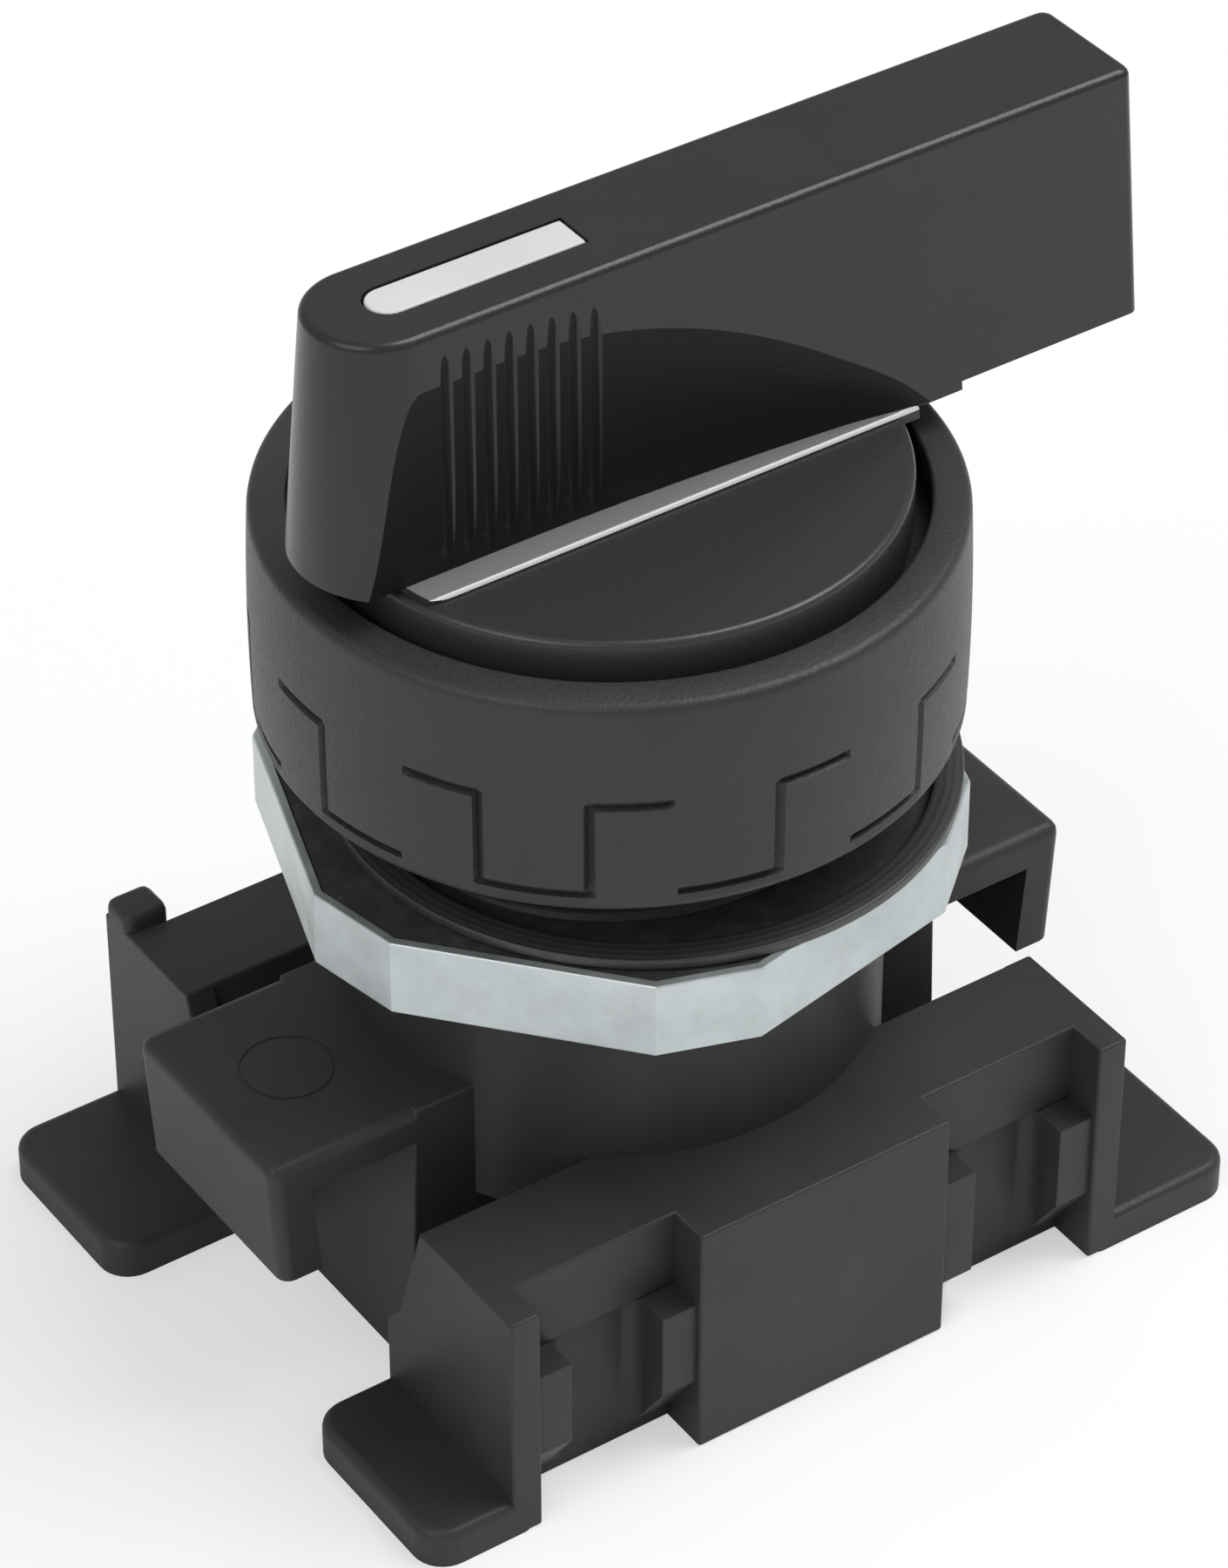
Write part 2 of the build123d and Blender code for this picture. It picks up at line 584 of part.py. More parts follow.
def plunger(side):
    x = side * PLUNGER_OFFSET
    dome_z = plunger_dome_z(side)
    head_low = dome_z - PLUNGER_HEAD_LENGTH
    flange_low = head_low - PLUNGER_FLANGE_HEIGHT
    dome = Pos(x, 0, dome_z) * Sphere(PLUNGER_DOME_RADIUS)
    head = rod(PLUNGER_DOME_RADIUS, head_low, dome_z, x=x)
    flange = rod(PLUNGER_FLANGE_RADIUS, flange_low, head_low, x=x)
    stem = rod(PLUNGER_STEM_RADIUS, flange_low - PLUNGER_STEM_LENGTH, flange_low, x=x)
    return dome + head + flange + stem


def return_spring(side):
    top_z = plunger_dome_z(side) - PLUNGER_HEAD_LENGTH - PLUNGER_FLANGE_HEIGHT
    length = top_z - GUIDE_TOP_Z - 2 * PRESS_GAP
    spring = coil(PLUNGER_FLANGE_RADIUS, RETURN_SPRING_WIRE, length, RETURN_SPRING_TURNS)
    return Pos(side * PLUNGER_OFFSET, 0, GUIDE_TOP_Z + PRESS_GAP) * spring


def plunger_guide():
    guide = rod(NECK_BORE_RADIUS - PRESS_GAP, GUIDE_TOP_Z - GUIDE_THICKNESS, GUIDE_TOP_Z)
    for side in (-1, 1):
        guide -= rod(PLUNGER_STEM_RADIUS + SLIDE_FIT, GUIDE_TOP_Z - GUIDE_THICKNESS - CUT_OVER,
                     GUIDE_TOP_Z + CUT_OVER, x=side * PLUNGER_OFFSET)
    return guide


def nut_outline(inset):
    hexagon = RegularPolygon(NUT_FLAT - inset, NUT_SIDES, major_radius=False)
    corners = RegularPolygon(NUT_CORNER_FLAT - inset, NUT_SIDES, major_radius=False)
    half_step = 180 / NUT_SIDES
    flats = Rot(0, 0, NUT_CORNER_ANGLE + half_step) * align_flat(hexagon)
    return flats & (Rot(0, 0, NUT_CORNER_ANGLE) * align_flat(corners))


def align_flat(hexagon):
    # Turns the outline so that the middle of one side lies on +X
    side = hexagon.edges().sort_by(Axis.X)[-1]
    middle = side @ 0.5
    return Rot(0, 0, -math.degrees(math.atan2(middle.Y, middle.X))) * hexagon


def locking_nut():
    body = Pos(0, 0, NUT_TOP_Z - NUT_HEIGHT) * extrude(nut_outline(0), NUT_HEIGHT)
    recess_floor = Pos(0, 0, NUT_TOP_Z - PAD_THICKNESS)
    recess = recess_floor * extrude(nut_outline(NUT_RIM), PAD_THICKNESS + CUT_OVER)
    bore = rod(NUT_BORE_RADIUS, NUT_TOP_Z - NUT_HEIGHT - CUT_OVER, NUT_TOP_Z + CUT_OVER)
    return body - recess - bore


def nut_pad():
    recess_floor = Pos(0, 0, NUT_TOP_Z - PAD_THICKNESS)
    pad = recess_floor * extrude(nut_outline(NUT_RIM + PRESS_GAP), PAD_THICKNESS)
    return pad - rod(NUT_BORE_RADIUS, NUT_TOP_Z - NUT_HEIGHT, NUT_TOP_Z + CUT_OVER)


def panel_gasket():
    # Loose ring that has slipped to one side of the neck
    shift = math.hypot(GASKET_SHIFT_X, GASKET_SHIFT_Y)
    bore = NECK_RADIUS + shift + SLIDE_FIT
    ring = tube(GASKET_RADIUS, bore, NUT_TOP_Z, NUT_TOP_Z + GASKET_THICKNESS)
    return Pos(GASKET_SHIFT_X, GASKET_SHIFT_Y, 0) * ring


def adapter_collar():
    return rod(COLLAR_RADIUS, COLLAR_LOW_Z, COLLAR_TOP_Z)


def adapter_housing():
    # Centre housing, a little longer at the foot than at the top
    width = 2 * HOUSING_HALF_WIDTH
    top = Pos(0, 0, BRIDGE_TOP_Z) * Rectangle(2 * HOUSING_HALF_LENGTH, width)
    foot = Pos(0, 0, ADAPTER_LOW_Z) * Rectangle(2 * HOUSING_LOW_HALF_LENGTH, width)
    return loft([foot, top], ruled=True)


def housing_pocket():
    inner_x = HOUSING_HALF_LENGTH - HOUSING_WALL
    inner_y = HOUSING_HALF_WIDTH - HOUSING_WALL
    return block(-inner_x, inner_x, -inner_y, inner_y, ADAPTER_LOW_Z - CUT_OVER, COLLAR_LOW_Z)


def bridge_outline():
    # Side view in X and Z: a flat bar whose ends hang down like hooks and lean inwards
    low_half = BRIDGE_HALF_LENGTH - BRIDGE_END_LEAN
    half_outline = [
        (BRIDGE_HALF_LENGTH, BRIDGE_TOP_Z),
        (low_half, BRIDGE_END_LOW_Z),
        (low_half - BRIDGE_END_WALL, BRIDGE_END_LOW_Z),
        (BRIDGE_HALF_LENGTH - BRIDGE_END_WALL, BRIDGE_TOP_Z - BRIDGE_THICKNESS),
    ]
    other_half = [(-x, z) for x, z in reversed(half_outline)]
    return make_face(Polyline(*half_outline, *other_half, close=True))


def adapter_bridge():
    bar = extrude(Plane.XZ * bridge_outline(), HOUSING_HALF_WIDTH, both=True)
    faces = bar.faces().sort_by(Axis.X)
    end_edges = faces[0].edges() + faces[-1].edges()
    corners = [edge for edge in end_edges if edge.bounding_box().size.Z > BRIDGE_THICKNESS]
    return fillet(bar.faces().sort_by(Axis.Z)[-1].edges() + corners, BRIDGE_ROUND)


def ejector_marks():
    inner = EJECTOR_MARK_RADIUS - EJECTOR_MARK_WIDTH
    mark = tube(EJECTOR_MARK_RADIUS, inner, BRIDGE_TOP_Z - EJECTOR_MARK_DEPTH, BRIDGE_TOP_Z + CUT_OVER)
    return [Pos(side * EJECTOR_MARK_X, 0, 0) * mark for side in (-1, 1)]


def end_wall_outline():
    # Side view of a rail's end wall, in Y and Z
    return make_face(Polyline(
        (-RAIL_FRONT_Y, RAIL_TOP_Z),
        (-RAIL_BACK_Y, RAIL_TOP_Z),
        (-WALL_KNEE_Y, WALL_KNEE_Z),
        (-WALL_HEEL_Y, WALL_HEEL_Z),
        (-WALL_HEEL_Y, ADAPTER_LOW_Z),
        (-RAIL_FRONT_Y, ADAPTER_LOW_Z),
        (-RAIL_FRONT_Y, RAIL_TOP_Z),
    ))


def rail_foot():
    # Flange that stands out at the low end of a rail
    foot = block(END_WALL_X - END_WALL, FOOT_HALF_LENGTH, -RAIL_FRONT_Y, -WALL_HEEL_Y,
                 ADAPTER_LOW_Z, ADAPTER_LOW_Z + FOOT_THICKNESS)
    outer = foot.faces().sort_by(Axis.X)[-1]
    foot = fillet(outer.edges().filter_by(Axis.Z), FOOT_CORNER_ROUND)
    top = foot.faces().sort_by(Axis.Z)[-1]
    rounded = [edge for edge in top.edges() if edge.center().X > END_WALL_X]
    return fillet(rounded, FOOT_EDGE_ROUND)


def corner_blend(wall_x, away, face_y):
    # Hollow round between the lower rail face and the free side of a tab
    near_x, far_x = sorted((wall_x, wall_x + away * TAB_BLEND))
    corner = block(near_x, far_x, face_y - TAB_BLEND, face_y, ADAPTER_LOW_Z, RAIL_STEP_Z)
    return corner - rod(TAB_BLEND, ADAPTER_LOW_Z - CUT_OVER, RAIL_STEP_Z + CUT_OVER,
                        x=wall_x + away * TAB_BLEND, y=face_y - TAB_BLEND)


def rail_tab(root_x, away, low_z, foot_z):
    # Tab in front of the lower rail face, its underside slanting back to the face
    face_y = -RAIL_FACE_Y + RAIL_STEP_DEPTH
    tip_y = -RAIL_FRONT_Y + TAB_SETBACK
    free_x = root_x + away * TAB_WIDTH
    near_x, far_x = sorted((root_x, free_x))
    tab = block(near_x, far_x, tip_y, face_y, ADAPTER_LOW_Z, RAIL_STEP_Z)
    slant = make_face(Polyline(
        (face_y, foot_z),
        (tip_y, low_z),
        (tip_y - CUT_OVER, low_z),
        (tip_y - CUT_OVER, ADAPTER_LOW_Z - CUT_OVER),
        (face_y, ADAPTER_LOW_Z - CUT_OVER),
        (face_y, foot_z),
    ))
    reach = TAB_WIDTH + TAB_BLEND + CUT_OVER
    under = extrude(Plane.YZ.offset(root_x) * slant, reach, both=True)
    return tab + corner_blend(free_x, away, face_y) - under


def front_rail():
    inner = END_WALL_X - END_WALL
    face_y = -RAIL_FACE_Y + RAIL_STEP_DEPTH
    rail = block(-inner, inner, -RAIL_FACE_Y, -RAIL_BACK_Y, RAIL_TOP_Z - RAIL_PLATE, RAIL_TOP_Z)
    rail += block(-inner, inner, -RAIL_FACE_Y, -RAIL_FACE_Y + RAIL_WEB + RAIL_STEP_DEPTH,
                  RAIL_STEP_Z, RAIL_TOP_Z)
    rail += block(-inner, inner, face_y, face_y + RAIL_WEB, ADAPTER_LOW_Z, RAIL_STEP_Z)
    rail += block(-PAD_BLOCK_HALF_WIDTH, PAD_BLOCK_HALF_WIDTH, -RAIL_FRONT_Y, face_y,
                  ADAPTER_LOW_Z, RAIL_TOP_Z)
    for side in (-1, 1):
        wall = extrude(Plane.YZ.offset(inner) * end_wall_outline(), END_WALL)
        foot = rail_foot()
        rib = block(LINK_RIB_X - LINK_RIB_WIDTH / 2, LINK_RIB_X + LINK_RIB_WIDTH / 2,
                    face_y + RAIL_WEB / 2, -HOUSING_HALF_WIDTH, ADAPTER_LOW_Z, LINK_RIB_TOP_Z)
        if side < 0:
            wall = mirror(wall, Plane.YZ)
            foot = mirror(foot, Plane.YZ)
            rib = mirror(rib, Plane.YZ)
        rail = rail + wall + foot + rib + rail_tab(side * inner, -side, TAB_LOW_Z, TAB_FOOT_Z)
    rail += rail_tab(-PAD_BLOCK_HALF_WIDTH, -1, TAB_LOW_Z, TAB_FOOT_Z)
    return rail + rail_tab(PAD_BLOCK_HALF_WIDTH, 1, LONG_TAB_LOW_Z, ADAPTER_LOW_Z)


def rear_lip():
    # Raised lip at one end of the rear rail
    low_x = -END_WALL_X
    lip = block(low_x, low_x + LIP_LENGTH, RAIL_FRONT_Y - LIP_WIDTH, RAIL_FRONT_Y,
                RAIL_TOP_Z - RAIL_PLATE, RAIL_TOP_Z + LIP_HEIGHT)
    return fillet(lip.faces().sort_by(Axis.Z)[-1].edges(), LIP_ROUND)


def adapter_body():
    rail = front_rail()
    body = adapter_collar() + adapter_housing() + adapter_bridge()
    body = body + rail + mirror(rail, Plane.XZ) + rear_lip()
    body -= rod(BARREL_RADIUS + BARREL_GAP, NECK_LOW_Z - BARREL_GAP, COLLAR_TOP_Z + CUT_OVER)
    body -= housing_pocket()
    for side in (-1, 1):
        body -= rod(PLUNGER_STEM_RADIUS + HOLE_GAP, COLLAR_LOW_Z - CUT_OVER, NECK_LOW_Z,
                    x=side * PLUNGER_OFFSET)
    return body - ejector_marks()


def nodes():
    made = {
        "lever_handle": lever_handle(),
        "indicator_inlay": indicator_inlay(),
        "rotor": rotor(),
        "hub_screw": hub_screw(),
        "hub_seal": hub_seal(),
        "retaining_clip": retaining_clip(),
        "bezel_housing": bezel_housing(),
        "detent_ring": detent_ring(),
        "plunger_guide": plunger_guide(),
        "panel_gasket": panel_gasket(),
        "nut_pad": nut_pad(),
        "locking_nut": locking_nut(),
        "adapter_body": adapter_body(),
    }
    for side, name in ((-1, "front"), (1, "rear")):
        made["detent_pin_" + name] = detent_pin(side)
        made["detent_spring_" + name] = detent_spring(side)
    for side, name in ((-1, "left"), (1, "right")):
        made["plunger_" + name] = plunger(side)
        made["return_spring_" + name] = return_spring(side)
    return made


os.makedirs("parts", exist_ok=True)
for node, shape in nodes().items():
    export_step(shape, "parts/" + node + ".step")
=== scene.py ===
import math

import bmesh
import bpy
from bpy.props import FloatProperty, FloatVectorProperty, IntProperty, PointerProperty
from mathutils import Matrix, Vector


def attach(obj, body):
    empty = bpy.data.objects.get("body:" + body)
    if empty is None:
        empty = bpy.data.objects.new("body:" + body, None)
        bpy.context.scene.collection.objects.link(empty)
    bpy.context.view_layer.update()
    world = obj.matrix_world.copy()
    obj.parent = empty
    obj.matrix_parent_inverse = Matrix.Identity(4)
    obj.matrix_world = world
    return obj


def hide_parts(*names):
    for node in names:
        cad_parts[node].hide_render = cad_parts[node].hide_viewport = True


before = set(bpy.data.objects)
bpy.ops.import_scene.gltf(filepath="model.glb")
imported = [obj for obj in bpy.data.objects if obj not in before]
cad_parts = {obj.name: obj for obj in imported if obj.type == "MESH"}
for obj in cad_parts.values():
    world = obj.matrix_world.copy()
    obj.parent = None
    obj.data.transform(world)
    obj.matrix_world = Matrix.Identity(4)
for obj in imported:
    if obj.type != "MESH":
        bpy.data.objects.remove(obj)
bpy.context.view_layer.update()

bl_info = {
    "name": "Rotary Lever Switch",
    "version": (1, 0, 0),
    "blender": (4, 5, 0),
    "location": "View3D > Sidebar > Lever Switch",
    "description": "Builds the visible mouldings, nut and finishes of a rotary lever switch",
    "category": "Object",
}

SHARP_ANGLE = math.radians(34)
NUT_SHARP_ANGLE = math.radians(20)
STRAIGHT_ANGLE = math.radians(179)
CLOUD_SCALE = 160.0
QUARTER_TURN = math.pi / 2
FULL_TURN = 2 * math.pi
MERGE_DISTANCE = 1e-7
LEVER_BODY, BASE_BODY = "lever", "base"
WHITE = (1.0, 1.0, 1.0, 1.0)

# Points round each turned form and round hole
BEZEL_STEPS, DISC_STEPS, GASKET_STEPS, COLLAR_STEPS = 600, 360, 300, 256
NECK_STEPS, NUT_BORE_STEPS, COLLAR_BORE_STEPS, MARK_STEPS = 180, 180, 128, 64
CORE_STEPS, FLUTE_STEPS, HOLE_STEPS = 48, 40, 32

# Parts of a normal that tell the lever's faces apart, for where the painted shade and painted highlights go
# and for the sharp creases
SIDEWAYS, UPRIGHT, CREASE_TILT, UPWARDS, ROUNDED = 0.9, 0.06, 0.05, 0.35, 0.93

# Place, width and depth of each softbox, which points at the origin
LAMPS = {"overhead": ((0.27, -0.10, 0.50), 0.34, 0.40), "side": ((-0.44, -0.14, 0.42), 0.4, 0.4)}


# Sizes and colours that a user would change

def size(name, description, default):
    return FloatProperty(name=name, description=description, default=default, unit="LENGTH", precision=5)


def turn(name, description, degrees):
    return FloatProperty(name=name, description=description, default=math.radians(degrees), subtype="ANGLE")


def count(name, description, default):
    return IntProperty(name=name, description=description, default=default, min=1)


def share(name, description, default):
    return FloatProperty(name=name, description=description, default=default, subtype="FACTOR",
                         min=0.0, max=1.0)


def colour(name, description, default):
    return FloatVectorProperty(name=name, description=description, default=default, subtype="COLOR", size=3,
                               min=0.0, max=1.0)


def power(name, description, default):
    return FloatProperty(name=name, description=description, default=default, unit="POWER")


class LeverSizes(bpy.types.PropertyGroup):
    """Sizes of the lever and the knob disc"""
    top_z: size("Top height", "Height of the lever's top face", 0.02366)
    low_z: size("Foot height", "Height where the lever meets the knob disc", 0.01173)
    top_half: size("Half width at top", "Half the lever's width at its top", 0.00296)
    low_half: size("Half width at foot", "Half the lever's width at its foot", 0.0044)
    tail_x: size("Tail end", "Where the lever's tail ends", 0.0243)
    nose_top_x: size("Nose centre at top", "Centre of the nose's arc at the top", -0.0112)
    nose_low_x: size("Nose centre at foot", "Centre of the nose's arc at the foot", -0.0106)
    edge_round: size("Edge round", "Radius of the lever's top edge", 0.00035)
    corner_round: size("Tail corner round", "Radius of the tail's upright corners", 0.00045)
    tail_low_z: size("Tail underside", "Height of the tail's underside", 0.01235)
    boss_low_z: size("Boss underside", "Height of the low boss's underside", 0.01195)
    boss_end_x: size("Boss end", "Where the boss under the tail ends", 0.0149)
    disc_radius: size("Disc radius", "Radius of the knob disc", 0.01265)
    disc_low_z: size("Disc underside", "Height of the knob disc's underside", 0.0090)
    disc_round: size("Disc edge round", "Radius of the disc's upper edge", 0.0003)
    hub_radius: size("Hub radius", "Radius of the hub below the disc", 0.0060)
    hub_low_z: size("Hub foot", "Height of the hub's lower end", 0.0030)


class FlatSizes(bpy.types.PropertyGroup):
    """Sizes of the finger flats in the lever's flanks, their grip flutes and the ridge below"""
    deep_y: size("Flat distance", "Distance of the flat from the middle plane", 0.00325)
    bend_x: size("Bend", "Where the flat starts to sweep outwards", -0.0070)
    bend_radius: size("Bend radius", "Radius of the outward sweep", 0.183)
    nose_x: size("Nose end", "Where the cut starts, beyond the nose", -0.0165)
    tail_x: size("Tail end", "Where the flat has run out", 0.0136)
    foot_depth: size("Foot depth", "How much deeper the flat lies at its foot", 0.00020)
    foot_top_z: size("Foot top", "Height where the flat starts to go deeper", 0.0166)
    foot_end_x: size("Foot end", "Where the deeper foot starts to run out", 0.0090)
    flute_count: count("Flutes", "Number of grip flutes on each side", 8)
    flute_pitch: size("Flute pitch", "Distance between the flutes", 0.001007)
    flute_first_x: size("First flute", "Place of the flute nearest the nose", -0.00995)
    flute_radius: size("Flute radius", "Radius of a flute's hollow", 0.00038)
    flute_depth: size("Flute depth", "Depth of a flute in the flat", 0.00015)
    ridge_z: size("Ridge height", "Height of the ridge's outer edge", 0.01200)
    ridge_slope: turn("Ridge slope", "How steeply the ridge falls outwards", 4)
    ridge_round: size("Ridge round", "Radius of the ridge's outer edge", 0.00026)
    nose_low_z: size("Nose underside", "Height of the nose's underside beyond the disc", 0.01208)


class InlaySizes(bpy.types.PropertyGroup):
    """Sizes of the light insert in the lever's top"""
    start_x: size("Round end", "Where the insert's round end lies", -0.0115)
    end_x: size("Square end", "Where the insert's square end lies", -0.00175)
    half: size("Half width", "Half the insert's width", 0.00095)
    depth: size("Depth", "Thickness of the insert", 0.0010)
    groove: size("Groove", "Width of the dark joint round the insert", 0.0001)
    edge_round: size("Edge round", "Radius of the insert's upper edge", 0.00012)


class BezelSizes(bpy.types.PropertyGroup):
    """Sizes of the bezel, its castellated line and the threaded neck"""
    foot_radius: size("Foot radius", "Radius of the bezel at the panel", 0.01511)
    rim_radius: size("Rim radius", "Radius of the bezel at its rim", 0.0150)
    bulge: size("Bulge", "How far the side bows out", 0.00012)
    height: size("Height", "Height of the rim above the panel", 0.01032)
    bore_radius: size("Recess radius", "Radius of the recess round the knob", 0.01335)
    rim_slope: size("Rim slope", "How far the rim rises towards the recess", 0.00018)
    floor_z: size("Recess floor", "Height of the recess floor", 0.0086)
    web_low_z: size("Web underside", "Height of the underside of the hub's web", 0.0066)
    hub_bore: size("Hub bore", "Radius of the bore round the knob's hub", 0.00605)
    edge_round: size("Edge round", "Radius of the rim's outer edge", 0.00045)
    neck_radius: size("Neck radius", "Outer radius of the threaded neck", 0.0109)
    barrel_radius: size("Barrel radius", "Radius of the neck below the thread", 0.0100)
    inner_radius: size("Inner radius", "Radius of the bore inside the neck", 0.0085)
    thread_length: size("Thread length", "Length of the threaded stretch", 0.0082)
    thread_pitch: size("Thread pitch", "Pitch of the thread", 0.0015)
    thread_depth: size("Thread depth", "Depth of the thread", 0.00035)
    neck_length: size("Neck length", "Length of the neck below the bezel", 0.0176)
    tooth_count: count("Teeth", "Number of steps of the castellated line", 12)
    tooth_angle: turn("Tooth angle", "Angle that one raised step takes", 12.55)
    line_turn: turn("Line turn", "How far the line is turned about the axis", -1.4)
    low_gap: turn("Lower gap", "Gap between a lower stretch and a step without an upright", 1.3)
    line_high_z: size("Upper line", "Height of the line's upper stretches", 0.0055)
    line_low_z: size("Lower line", "Height of the line's lower stretches", 0.00095)
    line_width: size("Line width", "Width of the line", 0.00036)
    line_depth: size("Line depth", "Depth of the line", 0.0003)
    mirror_angle: turn("Mirror direction", "Direction about which the line is mirrored", -135)


class NutSizes(bpy.types.PropertyGroup):
    """Sizes of the locking nut, its pad and the loose gasket"""
    flat: size("Flat distance", "Distance from the axis to the nut's long sides", 0.01437)
    corner: size("Corner distance", "Distance from the axis to the cut corners", 0.01527)
    corner_angle: turn("Corner direction", "Direction of one cut corner", 11.1)
    top_z: size("Top height", "Height of the nut's top", -0.00374)
    height: size("Height", "Height of the nut", 0.00372)
    rim: size("Rim", "Width of the metal rim round the pad", 0.0004)
    recess: size("Recess", "Depth of the pad's recess", 0.0006)
    bore: size("Bore", "Radius of the nut's bore", 0.01098)
    edge_round: size("Edge round", "Radius of the nut's edges", 0.00012)
    pad_drop: size("Pad drop", "How far the pad lies below the rim", 0.00012)
    pad_gap: size("Pad gap", "Joint between pad and rim", 0.00005)
    gasket_radius: size("Gasket radius", "Outer radius of the gasket", 0.01372)
    gasket_thickness: size("Gasket thickness", "Thickness of the gasket", 0.0005)
    gasket_bore: size("Gasket bore", "Radius of the gasket's hole", 0.01248)
    gasket_x: size("Gasket shift X", "How far the gasket has slipped along X", 0.00087)
    gasket_y: size("Gasket shift Y", "How far the gasket has slipped along Y", -0.00122)


class AdapterSizes(bpy.types.PropertyGroup):
    """Sizes of the contact block adapter"""
    low_z: size("Foot height", "Height of the adapter's underside", -0.02804)
    collar_radius: size("Collar radius", "Outer radius of the collar", 0.0120)
    collar_bore: size("Collar bore", "Inner radius of the collar", 0.01012)
    collar_top_z: size("Collar top", "Height of the collar's top", -0.0084)
    collar_low_z: size("Collar foot", "Height of the collar's lower end", -0.0196)
    roof_z: size("Roof height", "Height of the floor inside the collar", -0.01772)
    housing_x: size("Housing half length", "Half the length of the centre housing at its top", 0.01367)
    housing_low_x: size("Housing half foot", "Half the length of the centre housing at its foot", 0.0141)
    housing_y: size("Housing half width", "Half the width of the centre housing", 0.00543)
    wall: size("Wall", "Thickness of the housing's walls", 0.0015)
    bridge_z: size("Bridge top", "Height of the bridge's top face", -0.01316)
    bridge_x: size("Bridge half length", "Half the length of the bridge", 0.02085)
    bridge_plate: size("Bridge plate", "Thickness of the bridge's plate", 0.00179)
    bridge_wall: size("Bridge end wall", "Thickness of the bridge's hanging ends", 0.00195)
    bridge_lean: size("Bridge end lean", "How far the hanging ends lean inwards", 0.0004)
    bridge_low_z: size("Bridge end foot", "Height of the lower edge of the hanging ends", -0.01957)
    edge_round: size("Edge round", "Radius of the outer edges", 0.00014)
    bridge_round: size("Bridge edge round", "Radius of the bridge's edges", 0.0006)
    mark_radius: size("Mark radius", "Radius of the round ejector mark", 0.0021)
    mark_x: size("Mark place", "Distance of the ejector mark from the middle", 0.0166)
    mark_width: size("Mark width", "Width of the mark's line", 0.00016)
    mark_depth: size("Mark depth", "Depth of the mark's line", 0.00005)
    rail_top_z: size("Rail top", "Height of the rails' top plates", -0.01591)
    rail_plate: size("Rail plate", "Thickness of the rails' top plates", 0.0015)
    rail_back_y: size("Rail back edge", "Distance of the rail plate's back edge from the middle", 0.00934)
    rail_face_y: size("Rail face", "Distance of the rail's face from the middle", 0.01435)
    rail_front_y: size("Rail front", "Distance of the rail's end walls and pad from the middle", 0.01631)
    rail_web: size("Rail web", "Thickness of the rail's upright web", 0.0014)
    rail_step_z: size("Rail step", "Height of the step in the rail's face", -0.01993)
    rail_step: size("Rail step depth", "Depth of the step in the rail's face", 0.00045)
    end_x: size("End wall", "Distance of the end walls' outer sides from the middle", 0.0161)
    end_wall: size("End wall thickness", "Thickness of the end walls", 0.00147)
    knee_y: size("Knee place", "Where the end wall's slanted edge bends", 0.0076)
    knee_z: size("Knee height", "Height of that bend", -0.0216)
    heel_y: size("Heel place", "Where the end wall's back edge lies", 0.0066)
    heel_z: size("Heel height", "Height of the heel", -0.0228)
    pad_half: size("Middle block half width", "Half the width of the rail's middle block", 0.00653)
    foot_left_x: size("Front left foot", "Distance of the front left foot's end from the middle", 0.0202)
    foot_right_x: size("Front right foot", "Distance of the front right foot's end from the middle", 0.0229)
    foot_rear_x: size("Rear left foot", "Distance of the rear left foot's end from the middle", 0.02192)
    foot_thickness: size("Foot thickness", "Thickness of the feet", 0.00188)
    foot_corner: size("Foot corner", "Radius of the feet's corners", 0.0015)
    foot_round: size("Foot edge", "Radius of the feet's edges", 0.00045)
    tab_width: size("Tab width", "Width of the tabs in front of the rail's face", 0.00175)
    tab_setback: size("Tab setback", "How far the tabs' fronts lie behind the end walls' fronts", 0.0003)
    tab_blend: size("Tab blend", "Radius of the hollow round beside a tab", 0.0008)
    tab_low_z: size("Tab foot", "Height of a tab's lower front edge", -0.0243)
    tab_foot_z: size("Tab root", "Height where a tab's slanted underside meets the face", -0.0274)
    long_tab_low_z: size("Long tab foot", "Height of the long tab's lower front edge", -0.0256)
    rib_x: size("Rib place", "Distance of the link ribs from the middle", 0.0080)
    rib_width: size("Rib width", "Thickness of the link ribs", 0.0014)
    rib_top_z: size("Rib top", "Height of the link ribs' tops", -0.0200)
    lip_length: size("Lip length", "Length of the raised lip", 0.0022)
    lip_height: size("Lip height", "Height of the raised lip", 0.0009)
    lip_width: size("Lip width", "Width of the raised lip", 0.0020)
    lip_round: size("Lip round", "Radius of the raised lip's edges", 0.00045)
    stem_hole: size("Plunger hole", "Radius of the holes for the plungers", 0.0016)
    stem_x: size("Plunger place", "Distance of the plungers from the middle", 0.0052)


